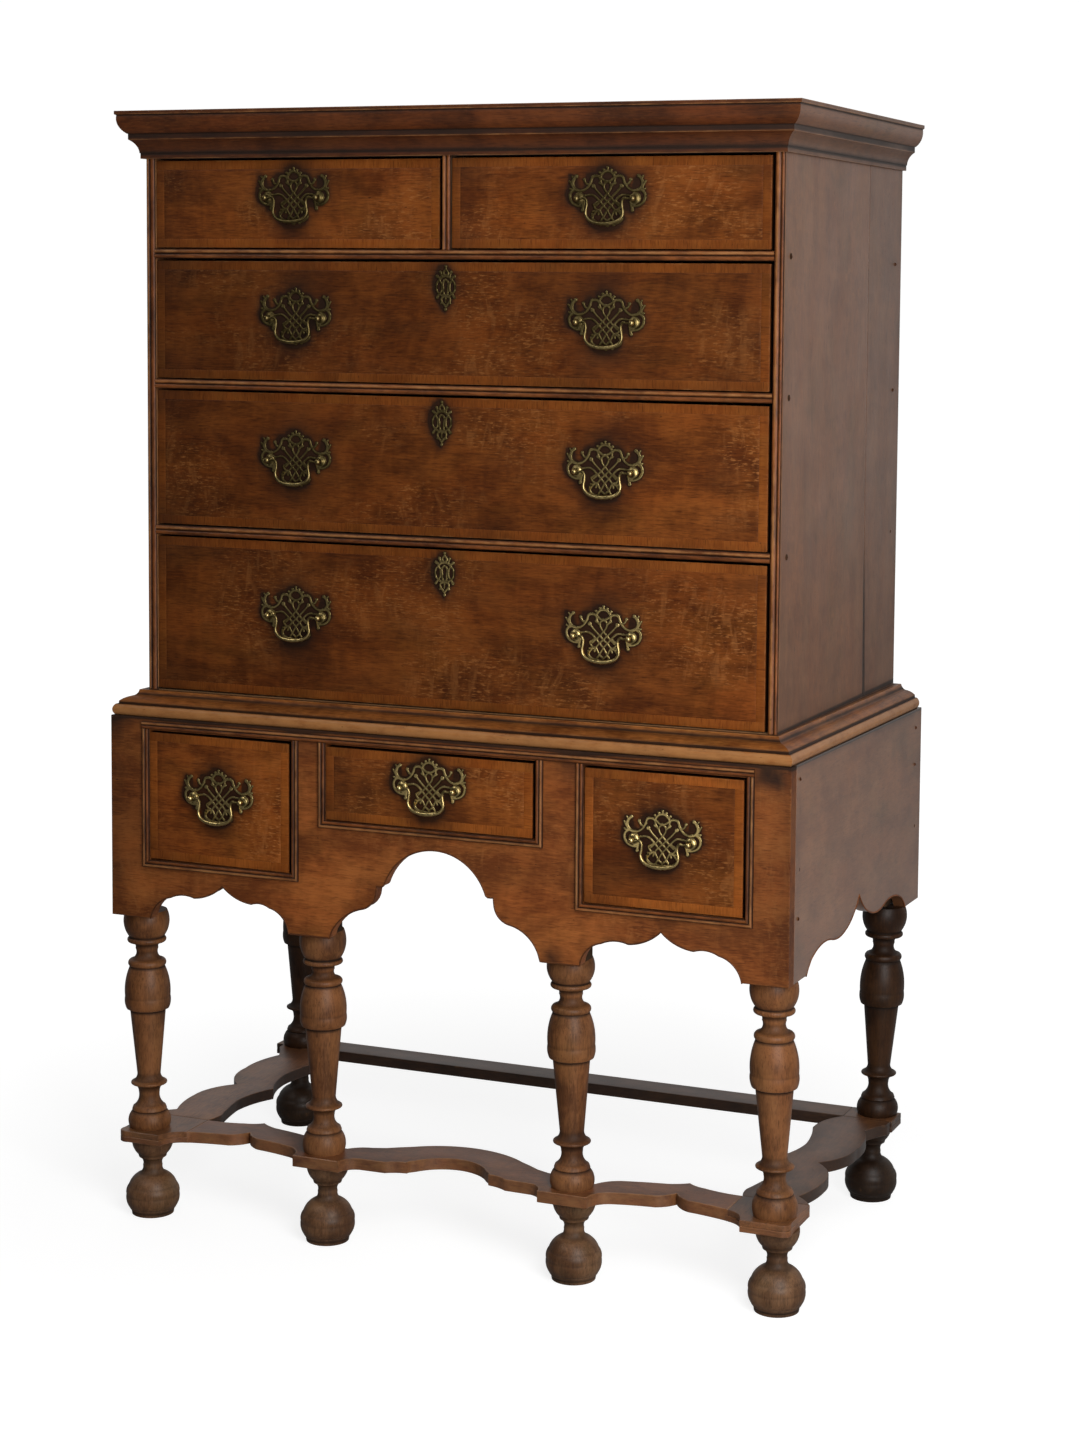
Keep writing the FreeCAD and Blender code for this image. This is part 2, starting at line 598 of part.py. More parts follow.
# ---------------------------------------------------------------- drawers and brass
def plate_outline():
    """Bat-wing backplate in x and z about the middle between its posts, right half first."""
    half = [(0, 40), ((5, 39), (9, 33)), ((15, 27), (24, 27)), (29, 21), (33, 26), (37, 22), (34, 17),
            ((40, 14), (44, 22)), (42, 28), (48, 30), ((54, 22), (50, 11)), ((56, 0), (46, -8)),
            (36, -9), (34, -16), (30, -15), (28, -7), ((22, -3), (19, -9)), (25, -19), ((20, -28), (8, -32)),
            (0, -36)]
    right, left, _ = mirrored(half)
    return right + left


def diamond(x, z, reach):
    """One lozenge of the plate's lattice."""
    return closed([(x, z - reach), (x + reach, z), (x, z + reach), (x - reach, z)])


def ring(radius, x, z):
    """A round hole as two half circles."""
    return [(x - radius, z), ((x, z + radius), (x + radius, z)), ((x, z - radius), (x - radius, z))]


def brass_for(drawer, handles, x, z, face, lock):
    """Backplates, posts and nuts of a drawer's handles, and its escutcheon and lock."""
    pieces, middle = [], z
    for index, (offset, lift) in enumerate(handles):
        tag = f"{drawer}_{index}"
        centre, z = f"({x}) + ({offset})", f"{middle} + {lift}"
        holes = [diamond(a * 7, -6 + b * 7, 2.4) for a in (-1, 0, 1) for b in (-1, 0, 1) if (a + b) % 2 == 0]
        holes += [ring(4.5, side * 16, 14) for side in (-1, 1)] + [ring(4, 0, 20)]
        holes += [ring(size("pin_radius"), side * size("handle_half"), 0) for side in (-1, 1)]
        plate = padded(f"plate_{tag}", "XZ_Plane", [plate_outline()] + holes, "plate_thick")
        pieces.append(put(plate, centre, face, z))
        for side in (-1, 1):
            post_x = f"{centre} + {side} * handle_half"
            name = f"post_{tag}_{'l' if side < 0 else 'r'}"
            shank = rod(name + "_shank", "Y", "pin_radius", "post_reach + drawer_front + nut_thick + 1",
                        post_x, f"{face} - post_reach", z)
            collar = rod(name + "_collar", "Y", "post_radius - 1.5", "post_reach - plate_thick",
                         post_x, f"{face} - post_reach", z)
            head = doc.addObject("Part::Sphere", name + "_head")
            bind(head, Radius="post_radius")
            put(head, post_x, f"{face} - post_reach", z)
            socket = rod(name + "_socket", "X", "bail_radius + 0.05", 9,
                         f"{post_x} - {1 if side < 0 else 8}", f"{face} - post_reach", z)
            pieces.append(cut(name, fuse(name + "_solid", [shank, collar, head]), [socket]))
            nut = board(name + "_nut", (f"{post_x} - nut_side / 2", f"{post_x} + nut_side / 2"),
                        (f"{face} + drawer_front", f"{face} + drawer_front + nut_thick"),
                        (f"{z} - nut_side / 2", f"{z} + nut_side / 2"))
            thread = rod(name + "_thread", "Y", "pin_radius", "nut_thick", post_x,
                         f"{face} + drawer_front", z)
            pieces.append(cut(name + "_nut_tapped", nut, [thread]))
    if lock:
        oval = [(0, 31), ((18.5, 4), (0, -31)), ((-18.5, 4), (0, 31))]
        keyhole = [ring(3, 0, 1)]
        plate = padded(f"escutcheon_{drawer}", "XZ_Plane", [oval] + keyhole, "plate_thick")
        lock_x, lock_z = f"({x}) + ({lock[0]})", f"{middle} + {lock[1]}"
        pieces.append(put(plate, lock_x, face, lock_z))
        pieces.append(board(f"lock_{drawer}", (f"{lock_x} - 32", f"{lock_x} + 32"),
                            (f"{face} + drawer_front", f"{face} + drawer_front + 9"),
                            (f"{lock_z} - 22", f"{lock_z} + 22")))
    keep(group(f"brass_{drawer}", pieces), f"{drawer}_brass")


def bail(name, x, y, z):
    """A swan-necked bail: a bent rod whose ends turn in the posts' heads."""
    end, drop = size("handle_half") - 1.5, size("bail_drop")
    body = doc.addObject("PartDesign::Body", name + "_rod")
    path = [(-end, 0), (-29, 0), ((-25.6, -1.4), (-24.2, -4.8)), (-24.2, -15),
            ((-21.5, -24), (-12, -drop + 1)), ((0, -drop), (12, -drop + 1)), ((21.5, -24), (24.2, -15)),
            (24.2, -4.8), ((25.6, -1.4), (29, 0)), (end, 0)]
    spine = sketch_on(body, "XZ_Plane", name + "_path", [path])
    section = body.newObject("Sketcher::SketchObject", name + "_section")
    planes = {item.Role: item for item in body.Origin.OriginFeatures}
    section.AttachmentSupport = [(planes["YZ_Plane"], "")]
    section.MapMode = "FlatFace"
    section.AttachmentOffset = Placement(Vector(0, 0, -end), Rotation())
    section.addGeometry(Part.Circle(Vector(0, 0, 0), Vector(0, 0, 1), size("bail_radius")), False)
    pipe = body.newObject("PartDesign::AdditivePipe", name + "_bend")
    pipe.Profile = section
    pipe.Spine = (spine, [])
    body.Tip = pipe
    keep(put(body, x, y, z), name)


def drawer(name, x, width, floor, height, face, end, handles, lock):
    """A drawer: solid front, dovetailed box, brass; formulas give its opening and its depth."""
    low, high = f"{floor} + drawer_gap", f"{floor} + {height} - drawer_gap"
    left, right = f"({x}) - ({width}) / 2 + drawer_gap", f"({x}) + ({width}) / 2 - drawer_gap"
    z = f"{floor} + ({height}) / 2"
    front = board(f"{name}_panel", (left, right), (face, f"{face} + drawer_front"), (low, high))
    drills = []
    for index, (offset, lift) in enumerate(handles):
        for side in (-1, 1):
            drills.append(rod(f"{name}_drill_{index}_{'l' if side < 0 else 'r'}", "Y", "pin_radius",
                              "drawer_front", f"({x}) + ({offset}) + {side} * handle_half", face,
                              f"{z} + {lift}"))
    if lock:
        drills.append(rod(f"{name}_keyhole", "Y", 3, "drawer_front", f"({x}) + ({lock[0]})", face,
                          f"{z} + {lock[1]} + 1"))
    keep(cut(f"{name}_front_drilled", front, drills), f"{name}_front")
    inside, bottom = f"{face} + drawer_front", f"{floor} + bottom_raise"
    side_z = (f"{floor} + drawer_run_gap", f"{high} - side_drop")
    left_x = (f"{left} + 1", f"{left} + 1 + drawer_side")
    right_x = (f"{right} - 1 - drawer_side", f"{right} - 1")
    pieces = [board(f"{name}_side_left", left_x, (inside, end), side_z),
              board(f"{name}_side_right", right_x, (inside, end), side_z)]
    between = (f"{left} + 1 + drawer_side", f"{right} - 1 - drawer_side")
    pieces.append(board(f"{name}_bottom", between, (inside, end), (bottom, f"{bottom} + drawer_bottom")))
    pieces.append(board(f"{name}_back", between, (f"{end} - drawer_back", end),
                        (f"{bottom} + drawer_bottom", f"{high} - side_drop")))
    keep(group(f"{name}_box_boards", pieces), f"{name}_box")
    brass_for(name, handles, x, z, face, lock)
    for index, (offset, lift) in enumerate(handles):
        tag = ("" if len(handles) == 1 else ("_left", "_right")[index])
        bail(name.replace("drawer_", "bail_") + tag, f"({x}) + ({offset})", f"{face} - post_reach",
             f"{z} + {lift}")


def drawers():
    """Two half drawers and three long ones in the case, three more in the stand."""
    face, end = "case_front + 2", "drawer_end"
    inner = f"({CASE_INNER})"
    places = ("handle_shift - handle_offset", "handle_shift + handle_offset")
    top_floor = f"{RAIL_3} + rail_board"
    top_places = {"left": ("-4.5", 7.5), "right": ("-3.5", 4.5)}
    for side, sign in SIDES.items():
        x = f"({sign} * ({inner} + divider / 2) + divider_place) / 2"
        half_width = f"{inner} - divider / 2 - {sign} * divider_place"
        drawer(f"drawer_top_{side}", x, half_width, top_floor, "top_opening", face, end,
               (top_places[side],), None)
    wide = f"2 * {inner}"
    for name, floor, height, lifts, lock in (
            ("upper", f"{RAIL_2} + rail_board", "upper_opening", (3, 3), (-8, 46)),
            ("middle", f"{RAIL_1} + rail_board", "middle_opening", (1, 0.5), (-13, 58)),
            ("lower", "case_floor", "lower_opening", (5, 2.5), (-8, 74))):
        drawer(f"drawer_{name}", "0", wide, floor, height, face, end, tuple(zip(places, lifts)), lock)
    stand_end = "stand_drawer_end"
    for side, sign, lift in (("left", -1, 2.5), ("right", 1, 0)):
        drawer(f"drawer_stand_{side}", f"{sign} * flank_centre", "flank_width", "flank_floor",
               "flank_height", "stand_front", stand_end, (("-2", lift),), None)
    drawer("drawer_stand_centre", "middle_centre", "middle_width", "middle_floor",
           "flank_floor + flank_height - middle_floor", "stand_front", stand_end, (("0", 3),), None)


# ---------------------------------------------------------------- build, check and write
def check_and_write():
    """Recompute, refuse a failed object or an empty shape, and write one STEP file a node."""
    doc.recompute()
    for obj in doc.Objects:
        if "Invalid" in obj.State or "Error" in obj.State:
            raise RuntimeError(f"{obj.Name} failed: {obj.State}")
    os.makedirs("parts", exist_ok=True)
    for node, obj in nodes.items():
        shape = obj.Shape
        if shape.isNull() or not shape.isValid() or not shape.Solids:
            raise RuntimeError(f"{node} has no valid solid")
        print(f"{node}: {len(shape.Solids)} solids, {shape.Volume / 1000:.1f} cm3")
        shape.exportStep(f"parts/{node}.step")
    print(len(nodes), "nodes")


case_frames(case_boards())
mouldings()
stand_frame(stand_boards())
legs()
stretchers()
drawers()
check_and_write()
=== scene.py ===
import math

import bpy
import numpy as np
from bpy.props import FloatProperty, FloatVectorProperty, IntProperty, PointerProperty
from mathutils import Matrix, Vector
from mathutils.geometry import delaunay_2d_cdt


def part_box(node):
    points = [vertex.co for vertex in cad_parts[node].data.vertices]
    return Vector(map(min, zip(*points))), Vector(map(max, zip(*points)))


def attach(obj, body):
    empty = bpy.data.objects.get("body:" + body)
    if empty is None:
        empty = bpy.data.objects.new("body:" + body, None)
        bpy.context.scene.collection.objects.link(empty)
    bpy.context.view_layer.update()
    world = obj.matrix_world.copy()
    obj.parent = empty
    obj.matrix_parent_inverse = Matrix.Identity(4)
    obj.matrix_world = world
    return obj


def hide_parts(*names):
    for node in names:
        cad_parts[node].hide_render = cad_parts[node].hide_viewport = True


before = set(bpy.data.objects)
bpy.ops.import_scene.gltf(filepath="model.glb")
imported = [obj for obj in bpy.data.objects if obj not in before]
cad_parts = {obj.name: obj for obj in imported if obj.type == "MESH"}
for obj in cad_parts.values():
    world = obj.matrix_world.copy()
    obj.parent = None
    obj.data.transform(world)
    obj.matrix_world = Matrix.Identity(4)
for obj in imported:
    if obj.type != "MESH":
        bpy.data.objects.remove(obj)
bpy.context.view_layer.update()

bl_info = {
    "name": "Oak Highboy",
    "version": (1, 0, 0),
    "blender": (4, 5, 0),
    "location": "View3D > Sidebar > Highboy",
    "description": "Dresses an oak chest on stand: drawers, mouldings, turned legs and pierced brass",
    "category": "Object",
}

RNG = np.random.default_rng(1705)
# sizes in millimetres
SUNK = 4.5  # how far the stand's back end has sunk
CASE_HALF = 463  # half the width of the upper case
STAND_DEPTH = (-279, 305)  # the stand's front and its back
GAP = 2.5  # play round a drawer's front
RUN_GAP = 0.5  # play under a drawer's sides
REED = 4  # how far the case's reeds stand proud
RAIL = 13  # thickness of a rail between the drawers
DIVIDER = 12  # thickness of the divider of the top row
CORNICE_OUT, WAIST_OUT = 31, 36.5  # how far the two mouldings stand out
OPENED = (750, 1030)  # heights between which the side boards' joints have opened
DRAWERS = {  # name: (handles, keyhole), each in x and z from the drawer's middle, in millimetres
    "top_left": (((-4.5, 7.5),), None), "top_right": (((-3.5, 4.5),), None),
    "upper": (((-232.5, 3), (221.5, 3)), (-8, 46)), "middle": (((-232.5, 1), (221.5, 0.5)), (-13, 58)),
    "lower": (((-232.5, 5), (221.5, 2.5)), (-8, 74)), "stand_left": (((-2, 2.5),), None),
    "stand_right": (((-2, 0),), None), "stand_centre": (((0, 3),), None),
}


# ---------------------------------------------------------------- sizes and colours
def length(name, description, default):
    """A property that holds a length in metres."""
    return FloatProperty(name=name, description=description, default=default, min=0.0, unit="LENGTH")


def colour(name, description, default):
    """A property that holds a colour."""
    return FloatVectorProperty(name=name, description=description, default=default, size=3,
                               min=0.0, max=1.0, subtype="COLOR")


class HighboySizes(bpy.types.PropertyGroup):
    """Sizes of what is dressed over the frame."""
    board_cell: length("Board cell", "Spacing of the points on a board's faces", 0.022)
    front_cell: length("Front cell", "Spacing of the points on a drawer front", 0.005)
    arris: length("Arris", "Rounding of a board's edges", 0.0008)
    banding: length("Banding", "Width of the crossbanding round a drawer front", 0.012)
    banding_thick: length("Banding thickness", "Thickness of the facing of a drawer front", 0.003)
    drawer_side: length("Drawer side", "Thickness of a drawer's sides", 0.010)
    drawer_bottom: length("Drawer bottom", "Thickness of a drawer's bottom", 0.006)
    drawer_back: length("Drawer back", "Thickness of a drawer's back", 0.008)
    bottom_raise: length("Bottom raise", "Height of a drawer's bottom over its runners", 0.006)
    handle_half: length("Half post spacing", "From a handle's middle to each of its posts", 0.039)
    post_reach: length("Post reach", "From a drawer's face to the axis of its bails", 0.011)
    plate_thick: length("Plate thickness", "Thickness of the pierced brass", 0.0014)
    plate_cell: length("Plate cell", "Spacing of the points on the pierced brass", 0.0007)
    cock_bead: length("Cock bead", "Thickness of the strip along the shaped edges", 0.0022)
    turning_steps: IntProperty(name="Turning steps", description="Points round a turning",
                               default=56, min=12, max=96)


class HighboyFinish(bpy.types.PropertyGroup):
    """Colours of the oak and of the brass; each oak's dark and light figure is added below."""
    ray: colour("Rays", "Rays of quartered oak", (0.330, 0.125, 0.034))
    worn: colour("Worn oak", "Rubbed edges", (0.360, 0.165, 0.058))
    # the grime colour paints dirt, and also painted shade in corners, grooves, quirks and under mouldings
    grime_and_shade: colour("Grime and Shade", "Dirt in corners and grooves", (0.010, 0.0042, 0.0018))
    brass: colour("Brass", "Clean old brass", (0.620, 0.470, 0.200))
    tarnish: colour("Tarnish", "Tarnished brass", (0.095, 0.070, 0.026))


FIGURES = {  # oak: what it is on, and its dark and its light colour
    "front": ("the drawer fronts", (0.070, 0.0170, 0.0026), (0.210, 0.0600, 0.0100)),
    "band": ("the crossbanding", (0.130, 0.0340, 0.0045), (0.225, 0.0660, 0.0105)),
    "reed": ("the reeds", (0.060, 0.0160, 0.0035), (0.220, 0.0680, 0.0160)),
    "case": ("the case sides", (0.105, 0.0400, 0.0150), (0.190, 0.0820, 0.0340)),
    "cornice": ("the cornice", (0.045, 0.0120, 0.0035), (0.120, 0.0330, 0.0080)),
    "waist": ("the waist moulding", (0.110, 0.0310, 0.0060), (0.330, 0.1180, 0.0270)),
    "stand": ("the stand's boards", (0.110, 0.0290, 0.0055), (0.270, 0.0850, 0.0190)),
    "turned": ("the legs and the plain stretchers", (0.080, 0.0310, 0.0120), (0.220, 0.0920, 0.0340)),
    "flat": ("the front stretcher", (0.105, 0.0340, 0.0110), (0.280, 0.1020, 0.0350)),
    "foot": ("the ball feet", (0.080, 0.0380, 0.0180), (0.210, 0.1120, 0.0560)),
    "inside": ("unfinished oak", (0.150, 0.0800, 0.0360), (0.330, 0.1950, 0.0980)),
}
for oak, (where, *pair) in FIGURES.items():
    for shade, default in zip(("dark", "light"), pair):
        HighboyFinish.__annotations__[f"{oak}_{shade}"] = colour(
            f"{oak.title()} {shade}", f"{shade.title()} figure of {where}", default)


def size(name):
    """One size in millimetres."""
    return getattr(bpy.context.scene.highboy_sizes, name) * 1000


def finish(name):
    """One colour with its alpha."""
    return (*getattr(bpy.context.scene.highboy_finish, name), 1.0)


def box(node):
    """Lowest and highest corner of a frame node, in millimetres."""
    low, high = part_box(node)
    return np.array(low) * 1000, np.array(high) * 1000


# ---------------------------------------------------------------- a piece in the making
GRAIN_ORDER = {"x": (0, 2, 1), "y": (1, 2, 0), "z": (2, 0, 1)}


def grained(points, along):
    """Each point's place in a log of its own, first along the grain, in metres."""
    return points[:, GRAIN_ORDER[along]] / 1000 + RNG.uniform(-20, 20, 3)


class Work:
    """Solids gathered as one mesh, in millimetres, with the values that the finish reads."""

    def __init__(self):
        """Nothing gathered yet."""
        self.points, self.faces, self.slots, self.grain, self.marks = [], [], [], [], []
        self.total = 0

    def add(self, points, faces, grain, wear, grime_and_shade, tone=0.0, slot=0):
        """More faces over points of their own, with the points' values and the faces' material."""
        points = np.asarray(points, float)
        count = len(points)
        self.points.append(points)
        self.faces += [[int(i) + self.total for i in face] for face in faces]
        self.slots += [slot] * len(faces)
        self.grain.append(np.asarray(grain, float))
        self.marks.append(np.stack([np.broadcast_to(np.asarray(v, float), (count,))
                                    for v in (wear, grime_and_shade, tone)], axis=1))
        self.total += count

    def build(self, name, materials, sharp):
        """The mesh object, with its values as attributes."""
        mesh = bpy.data.meshes.new(name)
        mesh.from_pydata((np.concatenate(self.points) / 1000).tolist(), [], self.faces)
        for material in materials:
            mesh.materials.append(material)
        mesh.polygons.foreach_set("material_index", self.slots)
        grain = mesh.attributes.new("grain", "FLOAT_VECTOR", "POINT")
        grain.data.foreach_set("vector", np.concatenate(self.grain).astype(np.float32).ravel())
        marks = np.concatenate(self.marks).astype(np.float32)
        for column, mark in enumerate(("wear", "grime_and_shade", "tone")):
            values = mesh.attributes.new(mark, "FLOAT", "POINT")
            values.data.foreach_set("value", np.ascontiguousarray(marks[:, column]))
        mesh.polygons.foreach_set("use_smooth", [True] * len(mesh.polygons))
        mesh.set_sharp_from_angle(angle=math.radians(sharp))
        mesh.validate()
        thing = bpy.data.objects.new(name, mesh)
        bpy.context.scene.collection.objects.link(thing)
        return thing


def settle(thing, body, nodes):
    """Hand a finished piece to its body, the nodes that it stands for and its finish."""
    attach(thing, body)
    if nodes:
        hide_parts(*nodes)


def deliver(work, name, finishes, nodes, body="carcase", sharp=32.0):
    """Build what a work has gathered, with its finishes, and settle it."""
    settle(work.build(name, [material(finish) for finish in finishes.split()], sharp), body, nodes)


# ---------------------------------------------------------------- boards
def ticks(low, high, cell, edge):
    """Cuts along one edge of a board, close together at its ends."""
    near = min(edge + 3.0, (high - low) / 2)
    if high - low < 4 * edge + 6:
        return np.array([low, low + edge, high - edge, high])
    count = max(2, int(round((high - low - 2 * near) / cell)) + 1)
    inner = np.linspace(low + near, high - near, count)
    return np.concatenate([[low, low + edge], inner, [high - edge, high]])


def edge_distance(points, low, high):
    """How far each point on a box lies from the box's nearest edge."""
    gaps = np.sort(np.minimum(points - low, high - points), axis=1)
    return np.maximum(gaps[:, 1], 0)


def weld(points, faces):
    """Points at one place made one."""
    unique, index = np.unique(np.round(points, 3), axis=0, return_inverse=True)
    index = index.reshape(-1)
    return unique, [[index[i] for i in face] for face in faces]


def plank(work, low, high, along, cell=None, edge=None, wear=0.7, dirt=0.25, tone=None, whole=None,
          bend=None, soil=None, cuts=(), slot=0):
    """A board with softened arrises.  whole is the panel that it is part of, bend moves its points,
    soil gives the dirt that lies on them besides and cuts are further heights for its points."""
    low, high = np.asarray(low, float), np.asarray(high, float)
    cell, edge = cell or size("board_cell"), edge or size("arris")
    lines = [ticks(a, b, cell, edge) for a, b in zip(low, high)]
    lines[2] = np.unique(np.concatenate([lines[2], cuts]))
    points, faces, start = [], [], 0
    for axis, (u, v) in enumerate(((1, 2), (2, 0), (0, 1))):
        across, upward = np.meshgrid(lines[u], lines[v], indexing="ij")
        rows, columns = across.shape
        corner = (np.arange(rows - 1)[:, None] * columns + np.arange(columns - 1)[None, :]).ravel()
        quads = np.stack([corner, corner + columns, corner + columns + 1, corner + 1], axis=1)
        for place, turn in ((low[axis], -1), (high[axis], 1)):
            patch = np.empty(across.shape + (3,))
            patch[..., axis], patch[..., u], patch[..., v] = place, across, upward
            points.append(patch.reshape(-1, 3))
            faces.append(quads[:, ::turn] + start)
            start += rows * columns
    points, faces = weld(np.concatenate(points), np.concatenate(faces))
    core = np.clip(points, low + edge, high - edge)
    out = points - core
    points = core + out / np.maximum(np.linalg.norm(out, axis=1, keepdims=True), 1e-9) * edge
    panel = whole or (low, high)
    away = edge_distance(points, np.asarray(panel[0], float), np.asarray(panel[1], float))
    tone = RNG.normal(0, 0.5) if tone is None else tone
    if callable(tone):
        tone = tone(points)
    grain = grained(points, along)
    grime_and_shade = dirt * np.exp(-away / 16)
    if soil:
        grime_and_shade = np.clip(grime_and_shade + soil(points), 0, 1.5)
    if bend:
        points = bend(points)
    work.add(points, faces, grain, wear * np.exp(-(away / 2.0) ** 2), grime_and_shade, tone, slot)


# ---------------------------------------------------------------- outlines
def bent(path, step):
    """An outline's points: a pair in the path is an arc through its first point to its second."""
    made = [np.array(path[0], float)]
    for item in path[1:]:
        here = made[-1]
        if not isinstance(item[0], tuple):
            target = np.array(item, float)
            count = max(1, int(np.linalg.norm(target - here) / step))
            made += [here + (target - here) * k / count for k in range(1, count + 1)]
            continue
        middle, end = np.array(item[0], float), np.array(item[1], float)
        (ax, ay), (bx, by), (cx, cy) = here, middle, end
        area = 2 * (ax * (by - cy) + bx * (cy - ay) + cx * (ay - by))
        squares = [p @ p for p in (here, middle, end)]
        ox = (squares[0] * (by - cy) + squares[1] * (cy - ay) + squares[2] * (ay - by)) / area
        oy = (squares[0] * (cx - bx) + squares[1] * (ax - cx) + squares[2] * (bx - ax)) / area
        radius = math.hypot(ax - ox, ay - oy)
        first = math.atan2(ay - oy, ax - ox)
        sweep = (math.atan2(cy - oy, cx - ox) - first) % (2 * math.pi)
        through = (math.atan2(by - oy, bx - ox) - first) % (2 * math.pi)
        if through > sweep:
            sweep -= 2 * math.pi
        count = max(3, int(abs(sweep) * radius / step), int(abs(sweep) / 0.3))
        made += [np.array([ox + radius * math.cos(first + sweep * k / count),
                           oy + radius * math.sin(first + sweep * k / count)])
                 for k in range(1, count + 1)]
    return np.array(made)


def signed_area(loop):
    """A loop's area, above 0 where it runs anticlockwise."""
    x, y = loop[:, 0], loop[:, 1]
    return 0.5 * float(np.sum(x * np.roll(y, -1) - np.roll(x, -1) * y))


def relief(outline, reach, ring=True):
    """How far each point of an outline stands proud of its surroundings, on its right-hand side."""
    path = np.vstack([outline, outline[:1]]) if ring else outline
    along = np.concatenate([[0], np.cumsum(np.linalg.norm(np.diff(path, axis=0), axis=1))])
    total, here = along[-1], along[:len(outline)]

    def at(distance):
        """The path's points at distances along it."""
        distance = distance % total if ring else np.clip(distance, 0, total)
        return np.stack([np.interp(distance, along, path[:, k]) for k in (0, 1)], axis=1)

    ahead, behind = at(here + reach), at(here - reach)
    tangent = ahead - behind
    tangent /= np.maximum(np.linalg.norm(tangent, axis=1, keepdims=True), 1e-9)
    right = np.stack([tangent[:, 1], -tangent[:, 0]], axis=1)
    return np.sum((outline - (ahead + behind) / 2) * right, axis=1)


def proud_marks(height, full):
    """Wear on what stands proud and dirt in what lies deep."""
    return np.clip(height / full, 0, 1) ** 1.5, np.clip(-height / full, 0, 1)


def moulding(work, section, start, along, out, up, length, ends, grain, soiled_and_shaded, rubbed, wear=0.6,
             dirt=0.9, tone=None, full=1.2, reach=2.5, station=45.0, slot=0):
    """One length of moulding.  ends holds the shift of its outer edge as a share of the
    projection: 1 at an outside mitre, 0 where it is square.  soiled and rubbed give the dirt and
    the wear of a section's points besides."""
    if signed_area(section) < 0:
        section = section[::-1]
    start, along, out, up = (np.array(v, float) for v in (start, along, out, up))
    count, rows = len(section), max(2, int(length / station) + 1)
    share = np.linspace(0, 1, rows)[:, None]
    shift = -ends[0] * section[:, 0] + share * (length + (ends[0] + ends[1]) * section[:, 0])
    points = (start + out * section[:, :1] + up * section[:, 1:2])[None] + along * shift[..., None]
    points = points.reshape(-1, 3)
    faces = [[i * count + j, i * count + (j + 1) % count, (i + 1) * count + (j + 1) % count,
              (i + 1) * count + j] for i in range(rows - 1) for j in range(count)]
    faces += [list(range(count))[::-1], [(rows - 1) * count + j for j in range(count)]]
    if np.dot(np.cross(out, up), along) < 0:
        faces = [face[::-1] for face in faces]
    rub, soil = proud_marks(relief(section, reach), full)
    rub = rub * wear + (rubbed(section) if rubbed else 0.0)
    soil = np.clip(soil * dirt + soiled_and_shaded(section), 0, 1.5)
    work.add(points, faces, grained(points, grain), np.tile(rub, rows), np.tile(soil, rows),
             RNG.normal(0, 0.4) if tone is None else tone, slot)


def inside(points, loops):
    """Which points lie inside the loops, holes counted out."""
    odd = np.zeros(len(points), bool)
    for loop in loops:
        a, b = loop, np.roll(loop, -1, axis=0)
        for (ax, ay), (bx, by) in zip(a, b):
            crosses = (ay > points[:, 1]) != (by > points[:, 1])
            if abs(by - ay) > 1e-12:
                odd ^= crosses & (points[:, 0] < (bx - ax) * (points[:, 1] - ay) / (by - ay) + ax)
    return odd


def loop_distance(points, loops):
    """Distance from each point to the nearest loop."""
    best = np.full(len(points), 1e9)
    for loop in loops:
        a, b = loop, np.roll(loop, -1, axis=0)
        for start, end in zip(a, b):
            run = end - start
            share = np.clip(((points - start) @ run) / max(run @ run, 1e-12), 0, 1)
            best = np.minimum(best, np.linalg.norm(points - start - share[:, None] * run, axis=1))
    return best


def inset(loop, amount):
    """The loop moved by an amount to its left, into the board."""
    tangent = np.roll(loop, -1, axis=0) - np.roll(loop, 1, axis=0)
    tangent /= np.maximum(np.linalg.norm(tangent, axis=1, keepdims=True), 1e-9)
    return loop + np.stack([-tangent[:, 1], tangent[:, 0]], axis=1) * amount


